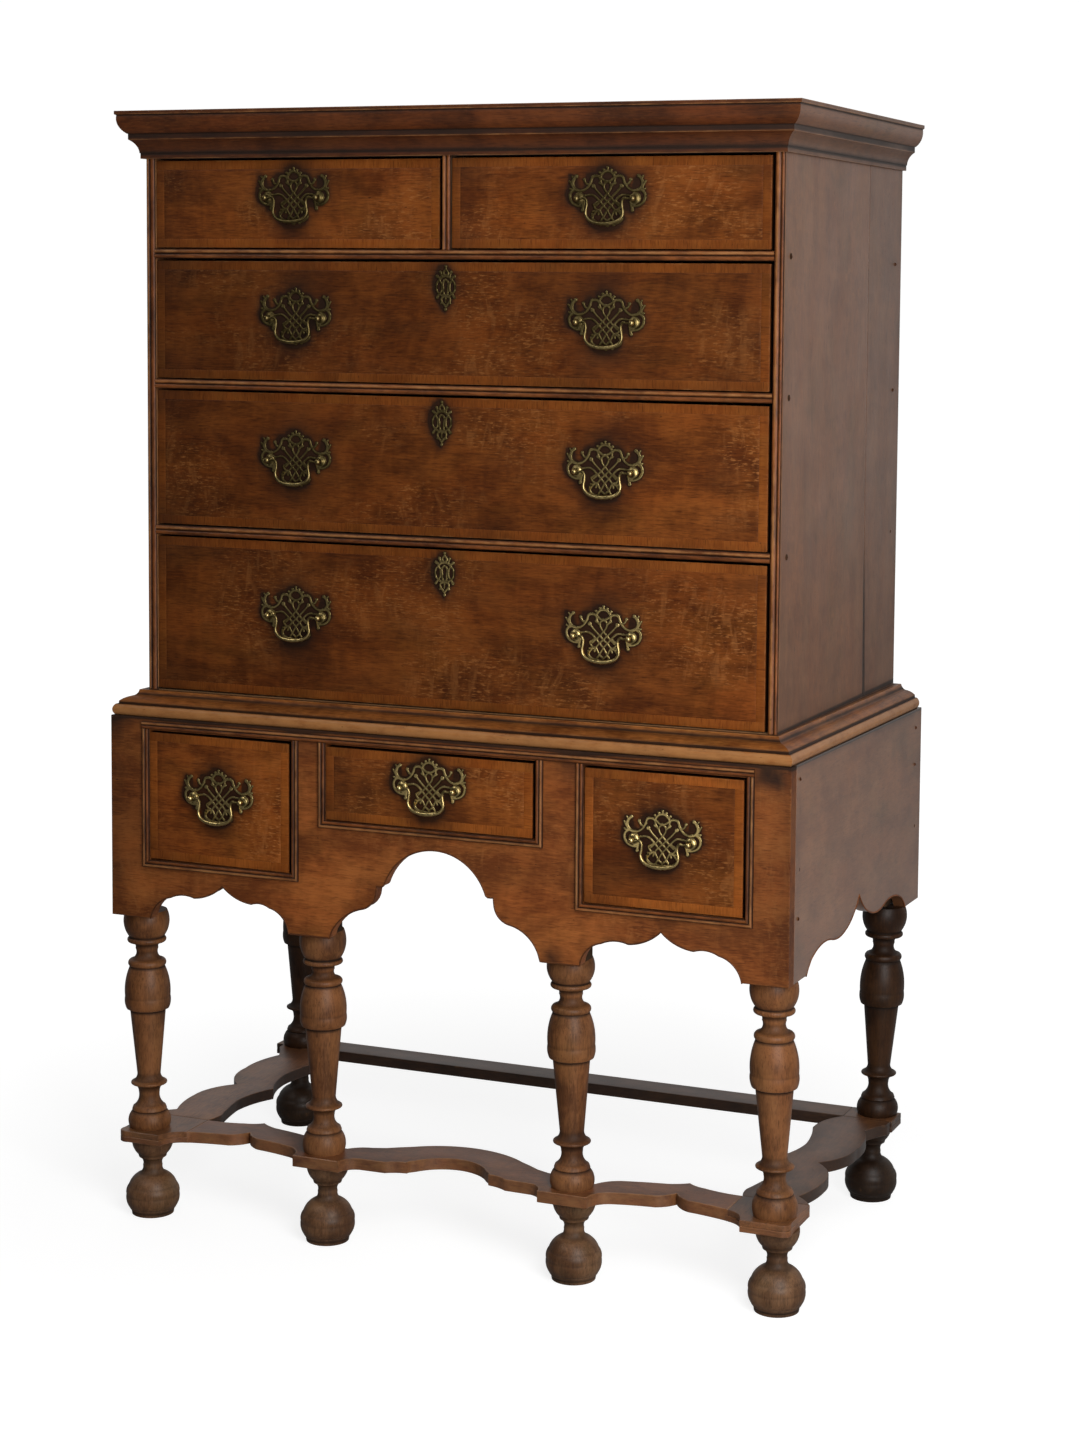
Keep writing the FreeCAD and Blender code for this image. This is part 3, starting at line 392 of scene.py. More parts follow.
def sawn(work, loops, axes, low, high, along, cell, wear=0.7, dirt=0.25, tone=None, stains=(), lid=None):
    """A board sawn to an outline with openings.  axes are the plane's two axes and the third one;
    low and high are its faces on the third.  stains holds dark places: (u, v, reach, strength), and
    lid is the height that a moulding shades."""
    edge = size("arris")
    u, v, w = axes
    ordered = []
    for index, loop in enumerate(loops):
        if np.allclose(loop[0], loop[-1]):
            loop = loop[:-1]
        turn = signed_area(loop) > 0
        ordered.append(loop if turn == (index == 0) else loop[::-1])
    rims = [inset(loop, edge) for loop in ordered]
    inner = [inset(loop, edge + 3.0) for loop in ordered]
    spots = np.concatenate(rims)
    ends, first = [], 0
    for rim in rims:
        ends += [(first + i, first + (i + 1) % len(rim)) for i in range(len(rim))]
        first += len(rim)
    lowest, highest = spots.min(0), spots.max(0)
    grid = np.stack(np.meshgrid(*(np.arange(a + cell / 2, b, cell) for a, b in zip(lowest, highest)),
                                indexing="ij"), axis=-1).reshape(-1, 2)
    extra = np.concatenate([*inner, grid])
    extra = extra[inside(extra, rims)]
    away = loop_distance(extra, rims)
    grid_kept = extra[away > 2.4]
    coords, _, tris, *_ = delaunay_2d_cdt([Vector(p) for p in np.concatenate([spots, grid_kept])],
                                          ends, [], 0, 1e-5)
    flat = np.array([tuple(p) for p in coords])
    tris = np.array([tri for tri in tris if len(tri) == 3])
    tris = tris[inside(flat[tris].mean(axis=1), rims)]
    edge1, edge2 = flat[tris[:, 1]] - flat[tris[:, 0]], flat[tris[:, 2]] - flat[tris[:, 0]]
    backwards = edge1[:, 0] * edge2[:, 1] - edge1[:, 1] * edge2[:, 0] < 0
    tris[backwards] = tris[backwards][:, ::-1]

    def lift(plane, depth):
        """Points of the plane brought to a depth."""
        points = np.empty((len(plane), 3))
        points[:, u], points[:, v], points[:, w] = plane[:, 0], plane[:, 1], depth
        return points

    points = [lift(flat, low), lift(flat, high)]
    right_handed = (u, v, w) in ((0, 1, 2), (1, 2, 0), (2, 0, 1))
    top, bottom = (tris, tris[:, ::-1]) if right_handed else (tris[:, ::-1], tris)
    faces = bottom.tolist() + (top + len(flat)).tolist()
    first = 2 * len(flat)
    for loop, rim in zip(ordered, rims):
        rows = [lift(rim, low), lift(loop, low + edge), lift(loop, high - edge), lift(rim, high)]
        count = len(loop)
        for row in range(3):
            for i in range(count):
                a, b = first + row * count + i, first + row * count + (i + 1) % count
                quad = [a, b, b + count, a + count]
                faces.append(quad if right_handed else quad[::-1])
        points += rows
        first += 4 * count
    points, faces = weld(np.concatenate(points), faces)
    faces = [face for face in faces if len(set(face)) == len(face)]
    plane = points[:, [u, v]]
    reach = loop_distance(plane, ordered)
    on_face = (np.abs(points[:, w] - low) < 1e-3) | (np.abs(points[:, w] - high) < 1e-3)
    rub = wear * np.where(on_face, np.exp(-(reach / 2.2) ** 2), 0.55)
    soil = dirt * np.exp(-reach / 16)
    for x, y, radius, strength in stains:
        soil = soil + strength * np.exp(-((plane[:, 0] - x) ** 2 + (plane[:, 1] - y) ** 2) / radius ** 2)
    # a painted shadow along the top, under the moulding
    if lid is not None:
        soil = soil + 1.4 * np.exp(-np.abs(plane[:, 1] - lid) / 2.5)
    if callable(tone):
        tone = tone(points)
    work.add(points, faces, grained(points, along), rub, np.clip(soil, 0, 1.5),
             RNG.normal(0, 0.4) if tone is None else tone)


def turning(work, profile, x, y, wear=0.55, dirt=0.9, tone=0.0, full=1.6, scuff=None):
    """A turning about an upright axis, from its profile's radii and heights, top first.  scuff
    gives the wear and the dirt that a height adds."""
    steps = bpy.context.scene.highboy_sizes.turning_steps
    angles = np.arange(steps) * 2 * math.pi / steps
    radii, heights = profile[:, 0], profile[:, 1]
    ring = np.stack([np.cos(angles), np.sin(angles)], axis=1)
    rows = len(profile)
    points = np.empty((rows, steps, 3))
    points[..., 0] = x + radii[:, None] * ring[None, :, 0]
    points[..., 1] = y + radii[:, None] * ring[None, :, 1]
    points[..., 2] = heights[:, None]
    points = points.reshape(-1, 3)
    faces = [[j * steps + i, (j + 1) * steps + i, (j + 1) * steps + (i + 1) % steps,
              j * steps + (i + 1) % steps] for j in range(rows - 1) for i in range(steps)]
    faces += [list(range(steps)), [(rows - 1) * steps + i for i in range(steps)][::-1]]
    rub, soil = proud_marks(-relief(profile, 4.0, ring=False), full)
    rub, soil = np.repeat(rub * wear, steps), np.repeat(soil * dirt, steps)
    if scuff:
        extra_rub, extra_soil = scuff(points[:, 2])
        rub, soil = np.clip(rub + extra_rub, 0, 1), np.clip(soil + extra_soil, 0, 1.4)
    grain = grained(points - np.array([x, y, 0.0]), "z")
    work.add(points, faces, grain, rub, soil, tone)


# ---------------------------------------------------------------- materials
def add_node(tree, kind, inputs=None, **settings):
    """A node of a tree; inputs maps its sockets to numbers or to the sockets that feed them."""
    node = tree.nodes.new(kind)
    for key, value in settings.items():
        setattr(node, key, value)
    for key, value in (inputs or {}).items():
        if isinstance(value, bpy.types.NodeSocket):
            tree.links.new(value, node.inputs[key])
        else:
            node.inputs[key].default_value = value
    return node


def maths(tree, operation, first, second, clamp=False):
    """The result of a sum on two values or sockets."""
    return add_node(tree, "ShaderNodeMath", {0: first, 1: second}, operation=operation,
                    use_clamp=clamp).outputs[0]


def mixed(tree, factor, first, second, blend="MIX"):
    """Two colours blended by a factor."""
    return add_node(tree, "ShaderNodeMix", {0: factor, 6: first, 7: second}, data_type="RGBA",
                    blend_type=blend).outputs[2]


def ramp(tree, value, low, high):
    """0 below low, 1 above high, smooth between."""
    return add_node(tree, "ShaderNodeMapRange", {0: value, 1: low, 2: high},
                    interpolation_type="SMOOTHSTEP").outputs[0]


def noise(tree, place, stretch, detail, rough=0.5, distortion=0.0):
    """Noise over stretched coordinates."""
    scaled = add_node(tree, "ShaderNodeVectorMath", {0: place, 1: stretch}, operation="MULTIPLY").outputs[0]
    return add_node(tree, "ShaderNodeTexNoise", {"Vector": scaled, "Scale": 1.0, "Detail": detail,
                                                 "Roughness": rough, "Distortion": distortion})


def node_group(name, inputs, outputs):
    """An empty shader group with its named sockets, and its two end nodes."""
    tree = bpy.data.node_groups.new(name, "ShaderNodeTree")
    for label, kind in inputs:
        tree.interface.new_socket(label, in_out="INPUT", socket_type="NodeSocket" + kind)
    for label, kind in outputs:
        tree.interface.new_socket(label, in_out="OUTPUT", socket_type="NodeSocket" + kind)
    return tree, tree.nodes.new("NodeGroupInput").outputs, tree.nodes.new("NodeGroupOutput").inputs


def oak_figure_group():
    """Figure of quartered oak: growth bands, streaks, mottle, pores, and the pale rays across them."""
    tree, given, result = node_group(
        "Oak figure", [("Place", "Vector"), ("Dark", "Color"), ("Light", "Color"), ("Ray", "Color"),
                       ("Rays", "Float"), ("Flames", "Float"), ("Mottle", "Float")],
        [("Color", "Color"), ("Height", "Float")])
    sway = noise(tree, given["Place"], (0.9, 5.0, 5.0), 2.0).outputs["Color"]
    centred = add_node(tree, "ShaderNodeVectorMath", {0: sway, 1: (0.5, 0.5, 0.5)},
                       operation="SUBTRACT").outputs[0]
    moved = add_node(tree, "ShaderNodeVectorMath", {0: centred, 1: (0.08, 0.02, 0.02), 2: given["Place"]},
                     operation="MULTIPLY_ADD").outputs[0]
    bands = noise(tree, moved, (1.3, 36.0, 36.0), 3.0, 0.6).outputs[0]
    streaks = noise(tree, moved, (16.0, 240.0, 240.0), 3.0, 0.6).outputs[0]
    dashes = noise(tree, moved, (62.0, 400.0, 400.0), 3.0, 0.65).outputs[0]
    pores = ramp(tree, noise(tree, moved, (60.0, 1100.0, 1100.0), 1.0).outputs[0], 0.57, 0.68)
    mottle = noise(tree, given["Place"], (11.0, 17.0, 17.0), 4.0, 0.62, 0.4).outputs[0]
    curl = noise(tree, moved, (46.0, 7.0, 7.0), 3.0, 0.6, 0.6).outputs[0]
    flames = ramp(tree, noise(tree, moved, (75.0, 24.0, 24.0), 3.0, 0.62, 0.8).outputs[0], 0.50, 0.68)
    flecks = ramp(tree, noise(tree, moved, (110.0, 430.0, 120.0), 2.0, 0.6).outputs[0], 0.54, 0.68)
    patches = ramp(tree, noise(tree, given["Place"], (6.0, 9.0, 9.0), 2.0).outputs[0], 0.42, 0.62)
    ruddy = ramp(tree, noise(tree, given["Place"], (7.0, 21.0, 21.0), 3.0, 0.6).outputs[0], 0.36, 0.66)
    parts = maths(tree, "ADD", maths(tree, "MULTIPLY", bands, 0.3), maths(tree, "MULTIPLY", streaks, 0.22))
    for part, share in ((dashes, 0.6), (curl, 0.33)):
        parts = maths(tree, "ADD", parts, maths(tree, "MULTIPLY", part, share))
    spread = maths(tree, "MULTIPLY", maths(tree, "SUBTRACT", mottle, 0.5), given["Mottle"])
    shade = ramp(tree, maths(tree, "ADD", parts, spread), 0.42, 1.04)
    base = mixed(tree, shade, given["Dark"], given["Light"])
    base = mixed(tree, maths(tree, "MULTIPLY", ruddy, 0.4), base, (1.0, 0.78, 0.62, 1.0), "MULTIPLY")
    olive = ramp(tree, noise(tree, given["Place"], (10.0, 14.0, 14.0), 3.0, 0.6).outputs[0], 0.5, 0.7)
    base = mixed(tree, maths(tree, "MULTIPLY", olive, 0.5), base, (0.72, 0.82, 0.74, 1.0), "MULTIPLY")
    rays = maths(tree, "MULTIPLY", maths(tree, "MULTIPLY", flecks, patches), given["Rays"], clamp=True)
    licks = maths(tree, "MULTIPLY", maths(tree, "MULTIPLY", flames, patches), given["Flames"], clamp=True)
    base = mixed(tree, maths(tree, "MAXIMUM", rays, licks), base, given["Ray"])
    dark = mixed(tree, maths(tree, "MULTIPLY", pores, 0.4), base, given["Dark"], "MULTIPLY")
    tree.links.new(dark, result["Color"])
    height = maths(tree, "SUBTRACT", maths(tree, "MULTIPLY", dashes, 0.6), pores)
    tree.links.new(height, result["Height"])


def handling_group():
    """Two centuries of use: rubbed arrises, dirt in corners, and boards of differing tone."""
    tree, given, result = node_group(
        "Handling", [("Place", "Vector"), ("Color", "Color"), ("Worn", "Color"), ("Dirt", "Color"),
                     ("Wear", "Float"), ("Grime and Shade", "Float"), ("Tone", "Float"), ("Polish", "Float")],
        [("Color", "Color"), ("Roughness", "Float")])
    broken = noise(tree, given["Place"], (38.0, 90.0, 90.0), 4.0, 0.65).outputs[0]
    cloudy = noise(tree, given["Place"], (9.0, 16.0, 16.0), 3.0, 0.6).outputs[0]
    rubbed = ramp(tree, maths(tree, "ADD", given["Wear"], maths(tree, "SUBTRACT", broken, 0.5)), 0.22, 0.85)
    soiled_and_shaded = maths(tree, "MULTIPLY", given["Grime and Shade"], maths(tree, "ADD", cloudy, 0.55), clamp=True)
    toned = maths(tree, "ADD", 1.0, maths(tree, "MULTIPLY", given["Tone"], 0.16))
    clear = add_node(tree, "ShaderNodeVectorMath", {0: given["Color"], 3: toned},
                     operation="SCALE").outputs[0]
    clear = mixed(tree, maths(tree, "MULTIPLY", rubbed, 0.8), clear, given["Worn"])
    nicks = ramp(tree, noise(tree, given["Place"], (130.0, 300.0, 300.0), 1.0, 0.5).outputs[0], 0.745, 0.80)
    soiled_and_shaded = maths(tree, "MAXIMUM", soiled_and_shaded, maths(tree, "MULTIPLY", nicks, 0.6))
    # dirt mixed in, together with the painted shade that the same values carry
    dirty = mixed(tree, maths(tree, "MULTIPLY", soiled_and_shaded, 0.92), clear, given["Dirt"])
    tree.links.new(dirty, result["Color"])
    dull = maths(tree, "ADD", maths(tree, "MULTIPLY", cloudy, 0.16), given["Polish"])
    dull = maths(tree, "ADD", dull, maths(tree, "MULTIPLY", soiled_and_shaded, 0.25))
    tree.links.new(maths(tree, "SUBTRACT", dull, maths(tree, "MULTIPLY", rubbed, 0.05), clamp=True),
                   result["Roughness"])


def old_brass_group():
    """Old lacquered brass: bright where it is rubbed, brown-green in the hollows."""
    tree, given, result = node_group(
        "Old brass", [("Place", "Vector"), ("Bright", "Color"), ("Tarnish", "Color"), ("Wear", "Float"),
                      ("Grime and Shade", "Float")],
        [("Color", "Color"), ("Roughness", "Float"), ("Height", "Float")])
    spots = noise(tree, given["Place"], (260.0, 260.0, 260.0), 4.0, 0.6).outputs[0]
    clouds = noise(tree, given["Place"], (45.0, 45.0, 45.0), 3.0, 0.6).outputs[0]
    base = maths(tree, "ADD", maths(tree, "MULTIPLY", spots, 0.55), maths(tree, "MULTIPLY", clouds, 0.75))
    clean = maths(tree, "SUBTRACT", maths(tree, "ADD", base, given["Wear"]), given["Grime and Shade"])
    clean = ramp(tree, clean, 0.25, 1.25)
    tree.links.new(mixed(tree, clean, given["Tarnish"], given["Bright"]), result["Color"])
    tree.links.new(maths(tree, "SUBTRACT", 0.38, maths(tree, "MULTIPLY", clean, 0.14)), result["Roughness"])
    tree.links.new(spots, result["Height"])


def attribute(tree, name, output="Fac"):
    """A value that a piece's points carry."""
    return add_node(tree, "ShaderNodeAttribute", attribute_name=name,
                    attribute_type="GEOMETRY").outputs[output]


def new_material(name):
    """A new material's tree and its Principled shader."""
    made = bpy.data.materials.new(name)
    made.use_nodes = True
    return made.node_tree, made.node_tree.nodes["Principled BSDF"]


def oak_material(name, dark, light, rays, flames, mottle=1.0, polish=0.36, coat=0.0, lying=None,
                 edges=1.0, shine=0.22, dirt_and_shade=1.0):
    """Finished oak.  lying is the grain's axis on a piece that has no grain values of its own; such a
    piece is dark towards the front, by soot.  edges is the strength of the wear."""
    tree, shader = new_material(name)
    if lying is None:
        place = attribute(tree, "grain", "Vector")
        wear, grime_and_shade, tone = (attribute(tree, mark) for mark in ("wear", "grime_and_shade", "tone"))
    else:
        spot = add_node(tree, "ShaderNodeTexCoord").outputs["Object"]
        axes = add_node(tree, "ShaderNodeSeparateXYZ", {0: spot})
        parts = [axes.outputs[k] for k in GRAIN_ORDER[lying]]
        place = add_node(tree, "ShaderNodeCombineXYZ", dict(enumerate(parts))).outputs[0]
        wear, tone = 0.0, 0.0
        # painted shade towards the front, where such pieces show in the gaps
        grime_and_shade = maths(tree, "MULTIPLY", ramp(tree, axes.outputs[1], -0.185, -0.215), dirt_and_shade)
    figure = add_node(tree, "ShaderNodeGroup", node_tree=bpy.data.node_groups["Oak figure"])
    use = add_node(tree, "ShaderNodeGroup", node_tree=bpy.data.node_groups["Handling"])
    for key, value in {"Dark": finish(dark), "Light": finish(light), "Ray": finish("ray"), "Rays": rays,
                       "Flames": flames, "Mottle": mottle}.items():
        figure.inputs[key].default_value = value
    tree.links.new(place, figure.inputs["Place"])
    tree.links.new(place, use.inputs["Place"])
    tree.links.new(figure.outputs["Color"], use.inputs["Color"])
    for key, value in {"Worn": finish("worn"), "Dirt": finish("grime_and_shade"), "Polish": polish}.items():
        use.inputs[key].default_value = value
    for key, value in (("Wear", wear), ("Grime and Shade", grime_and_shade), ("Tone", tone)):
        if isinstance(value, float):
            use.inputs[key].default_value = value
        elif key == "Wear":
            tree.links.new(maths(tree, "MULTIPLY", value, edges), use.inputs[key])
        else:
            tree.links.new(value, use.inputs[key])
    for key, value in {"Specular IOR Level": shine, "Coat Weight": coat, "Coat Roughness": 0.28}.items():
        shader.inputs[key].default_value = value
    surface(tree, shader, use, figure, 0.12, 0.0006)


def surface(tree, shader, source, figure, strength, distance):
    """Feeds the shader its colour and roughness, and relief from a figure's height."""
    for key, socket in (("Color", "Base Color"), ("Roughness", "Roughness")):
        tree.links.new(source.outputs[key], shader.inputs[socket])
    raised = add_node(tree, "ShaderNodeBump", {"Strength": strength, "Distance": distance,
                                               "Height": figure.outputs["Height"]})
    tree.links.new(raised.outputs[0], shader.inputs["Normal"])


def brass_material(name, dull, bump):
    """The handles' brass, duller towards the upper left where it is out of reach and of the light."""
    tree, shader = new_material(name)
    metal = add_node(tree, "ShaderNodeGroup", node_tree=bpy.data.node_groups["Old brass"])
    metal.inputs["Bright"].default_value = finish("brass")
    metal.inputs["Tarnish"].default_value = finish("tarnish")
    place = add_node(tree, "ShaderNodeTexCoord").outputs["Object"]
    axes = add_node(tree, "ShaderNodeSeparateXYZ", {0: place})
    # painted shade: tarnish colour towards the upper left, for the dark that the brass reflects there
    reach = maths(tree, "SUBTRACT", axes.outputs[2], maths(tree, "MULTIPLY", axes.outputs[0], 0.6))
    grime_and_shade = maths(tree, "ADD", attribute(tree, "grime_and_shade"),
                  maths(tree, "MULTIPLY", ramp(tree, reach, 0.7, 1.5), dull))
    for socket, key in ((place, "Place"), (attribute(tree, "wear"), "Wear"), (grime_and_shade, "Grime and Shade")):
        tree.links.new(socket, metal.inputs[key])
    shader.inputs["Metallic"].default_value = 1.0
    surface(tree, shader, metal, metal, bump, 0.0003)


OAKS = {  # finish: its dark and light colour, its rays and flames, and what else sets it apart
    "front_oak": ("front_dark", "front_light", 0.6, 0.3, {"shine": 0.12}),
    "band_oak": ("band_dark", "band_light", 0.1, 0.0, {"mottle": 0.9, "shine": 0.12}),
    "case_oak": ("case_dark", "case_light", 0.15, 0.1,
                 {"mottle": 0.7, "polish": 0.30, "coat": 0.1, "shine": 0.5}),
    "cornice_oak": ("cornice_dark", "cornice_light", 0.1, 0.0, {}),
    "waist_oak": ("waist_dark", "waist_light", 0.2, 0.0, {"shine": 0.14}),
    "waist_side_oak": ("waist_dark", "waist_light", 0.1, 0.0, {"shine": 0.5}),
    "reed_oak": ("reed_dark", "reed_light", 0.2, 0.0, {"polish": 0.34}),
    "stretcher_oak": ("flat_dark", "flat_light", 0.3, 0.2, {"polish": 0.3, "coat": 0.1, "shine": 0.5}),
    "stand_oak": ("stand_dark", "stand_light", 0.35, 0.3, {"mottle": 1.4}),
    "side_oak": ("case_dark", "case_light", 0.15, 0.1, {"polish": 0.28, "coat": 0.65, "shine": 1.0}),
    "turned_oak": ("turned_dark", "turned_light", 0.1, 0.1, {"mottle": 1.4, "shine": 0.2, "edges": 0.5}),
    "foot_oak": ("foot_dark", "foot_light", 0.1, 0.1, {"mottle": 1.6, "shine": 0.25, "edges": 0.5}),
    "inside_oak": ("inside_dark", "inside_light", 0.3, 0.1, {"polish": 0.6}),
    "frame_oak": ("inside_dark", "inside_light", 0.3, 0.1, {"polish": 0.6, "lying": "x"}),
    "peg_oak": ("cornice_dark", "turned_dark", 0.1, 0.0, {"polish": 0.4, "lying": "z", "dirt_and_shade": 0.3}),
    "strip_oak": ("waist_dark", "stand_light", 0.1, 0.0, {"lying": "x", "dirt_and_shade": 0.55}),
    "flat_oak": ("turned_dark", "turned_light", 0.2, 0.1, {"polish": 0.3, "coat": 0.12, "shine": 0.45}),
}


def make_materials():
    """Every finish of the oak and of the brass."""
    oak_figure_group()
    handling_group()
    old_brass_group()
    for name, (dark, light, rays, flames, settings) in OAKS.items():
        oak_material(name, dark, light, rays, flames, **settings)
    brass_material("old_brass", 0.54, bump=0.25)
    brass_material("bail_brass", 0.5, bump=0.08)


def material(name):
    """A finish that has been made."""
    return bpy.data.materials[name]


# ---------------------------------------------------------------- upper case
def racked(points):
    """Points of the stand out of square: the right side in at its front and out at its back, and
    the back end a little sunk."""
    depth = np.interp(points[:, 1], STAND_DEPTH, (0, 1))
    moved = points.copy()
    moved[:, 0] += np.clip((points[:, 0] - CASE_HALF) / 10, 0, 1) * (6.5 * depth - 3.5)
    moved[:, 2] -= SUNK * depth
    return moved


def rack(work):
    """Put what a work has gathered out of square with the stand."""
    work.points = [racked(points) for points in work.points]


def opening_joint(from_y, to_y, amount):
    """Moves a board's edge at to_y as its joint opens towards the foot."""
    foot, top = OPENED

    def bend(points):
        """The board's points with the joint open."""
        share = np.clip((top - points[:, 2]) / (top - foot), 0, 1)
        near = np.clip((points[:, 1] - from_y) / (to_y - from_y), 0, 1)
        moved = points.copy()
        moved[:, 1] += share * near * amount
        return moved
    return bend


def dress_case_sides():
    """Each side is a wide board and a narrow one, whose joint has opened at the foot."""
    rest = box("waist_moulding")[1][2]
    for side, joint, shift, gap in (("left", 40.0, 2.0, 1.0), ("right", 131.0, 7.0, 8.0)):
        low, high = box(f"case_side_{side}")
        work = Work()
        split = joint + 0.3

        def dirt_and_shade(points):
            """Dirt in the open joint, and where the board stands on the moulding."""
            near = np.exp(-np.abs(points[:, 1] - joint) / 1.6)
            foot = np.exp(-np.abs(points[:, 2] - rest) / 2)
            return 1.5 * near * np.clip((OPENED[1] - points[:, 2]) / 160, 0.12, 1) + 1.3 * foot

        common = {"dirt": 0.12, "whole": (low, high), "soil": dirt_and_shade, "cuts": (rest, rest + 4)}
        plank(work, low, (high[0], joint, high[2]), "z", tone=0.2,
              bend=opening_joint(low[1], joint, shift), **common)
        plank(work, (low[0], split, low[2]), high, "z", tone=-0.3,
              bend=opening_joint(high[1], split, shift + gap), **common)
        deliver(work, f"case_{side}_boards", "case_oak", [f"case_side_{side}"])


def panel(node, name, finish, slot, axis, joints, along, **options):
    """A panel of boards side by side in a node's place, with their joints given on one axis."""
    low, high = box(node)
    work = Work()
    edges = [low[axis], *joints, high[axis]]
    for start, end in zip(edges, edges[1:]):
        first, last = low.copy(), high.copy()
        first[axis], last[axis] = start + 0.15, end - 0.15
        plank(work, first, last, along, **options)
    deliver(work, name, finish, [node])


def dress_case_top():
    """The lid's three boards."""
    panel("case_top", "case_lid", "case_oak", "oak_case", 1, (-70, 110), "x", dirt=0.5)


def dress_case_inside():
    """The back's upright planks, and the bottom of the case."""
    low, high = box("case_back")
    panel("case_back", "case_back_planks", "inside_oak", "oak_inside", 0,
          np.linspace(low[0], high[0], 5)[1:-1], "z", dirt=0.7, wear=0.3)
    panel("case_bottom", "case_bottom_boards", "inside_oak", "oak_inside", 1, (-20, 140), "x", dirt=0.4)


# sections as shares of the projection and the height; a pair is an arc through its first point
CORNICE = [(0, 1), (1, 1), (1, 0.93), (0.925, 0.906), ((0.873, 0.69), (0.59, 0.523)), (0.56, 0.523),
           (0.56, 0.4), ((0.31, 0.288), (0.197, 0.117)), (0.167, 0.117), (0.167, 0), (0, 0), (0, 1)]
WAIST = [(0, 0), (0.9, 0), ((1, 0.22), (0.9, 0.45)), (0.82, 0.456), (0.81, 0.57),
         ((0.63, 0.695), (0.42, 0.755)), ((0.31, 0.84), (0.25, 1)), (0, 1), (0, 0)]


def share_section(shares, out, height):
    """A moulding's section brought from shares to its real size, with close points."""
    def point(pair):
        """A pair of shares as a place."""
        return (pair[0] * out, pair[1] * height)
    path = [tuple(point(p) for p in item) if isinstance(item[0], tuple) else point(item)
            for item in shares]
    return bent(path, 1.6)[:-1]


def cornice_dirt_and_shade(shares):
    """Dirt in the cove and the quirks of the cornice, from its section in shares."""
    spots = ((0.56, 0.45, 0.9), (0.56, 0.53, 0.7), (0.17, 0.12, 0.9))
    quirks = sum(level * np.exp(-((shares[:, 0] - u) / 0.06) ** 2 - ((shares[:, 1] - v) / 0.04) ** 2)
                 for u, v, level in spots)
    return quirks + 0.35 * np.clip(1 - shares[:, 1] / 0.55, 0, 1) + 0.2 * (shares[:, 1] > 0.9)


def waist_dirt_and_shade(shares):
    """Dirt in the quirks of the waist moulding, from its section in shares."""
    spots = ((0.83, 0.45, 1.4), (0.81, 0.52, 0.8), (0.33, 0.84, 0.8), (0.06, 1.0, 1.2), (0.9, 0.0, 1.0))
    return sum(level * np.exp(-((shares[:, 0] - u) / 0.05) ** 2 - ((shares[:, 1] - v) / 0.05) ** 2)
               for u, v, level in spots)


def round_case(name, node, section, half, front, back, floor, finishes, tone, soiled_and_shaded, rubbed=None,
               with_stand=False):
    """A moulding round the two sides and the front of the case, mitred at its corners, with a finish
    for its front and one for its sides."""
    work = Work()
    for start, along, out, run, ends, grain in (
            ((-half, back, floor), (0, -1, 0), (-1, 0, 0), back - front, (0, 1), "y"),
            ((-half, front, floor), (1, 0, 0), (0, -1, 0), 2 * half, (1, 1), "x"),
            ((half, front, floor), (0, 1, 0), (1, 0, 0), back - front, (1, 0), "y")):
        moulding(work, section, start, along, out, (0, 0, 1), run, ends, grain, soiled_and_shaded, rubbed, tone=tone,
                 station=15.0, slot=int(grain == "y"))
    if with_stand:
        rack(work)
    deliver(work, name, finishes, [node])


def reed_section(width, height, valley):
    """A double reed: two half rounds side by side on a thin fillet, with their valley at a share of
    the width."""
    fillet, low = height - 0.2 * width, width * valley  # height of the fillet, place of the valley
    return bent([(0, 0), (0, fillet), ((low / 2, height), (low, fillet)),
                 (((low + width) / 2, height), (width, fillet)), (width, 0), (0, 0)], 0.8)[:-1]


def reeds(work, x, face, z, width, height, along, run, ends, outward=None, valley=0.5):
    """A double-reeded strip on a front that faces -Y, along X or up Z, rubbed along its crowns and
    dark in its hollows."""
    out = outward or ((0, 0, 1) if along == "x" else (-1, 0, 0))
    direction = (1, 0, 0) if along == "x" else (0, 0, 1)

    def crown(section):
        """Wear on the upper half of the reeds, most on the outer one."""
        high = section[:, 1] > height - 0.5 * width / 4
        near = np.exp(-((section[:, 0] - (1 + valley) / 2 * width) / 1.6) ** 2)
        return high * (0.2 + 0.4 * near)

    def hollow(section):
        """Dirt in the valley and along both edges."""
        middle = np.exp(-((section[:, 0] - width * valley) / 1.1) ** 2)
        return 0.9 * middle + 0.9 * np.exp(-(np.minimum(section[:, 0], width - section[:, 0]) / 0.8) ** 2)

    moulding(work, reed_section(width, height, valley), (x, face, z), direction, out, (0, -1, 0), run,
             ends, along, hollow, crown, wear=0.0, dirt=0.3, full=0.5, reach=1.3)


def rails(lift):
    """Heights over the tops of the lower, middle and upper drawers' fronts."""
    return [box(f"drawer_{name}_front")[1][2] + lift for name in ("lower", "middle", "upper")]


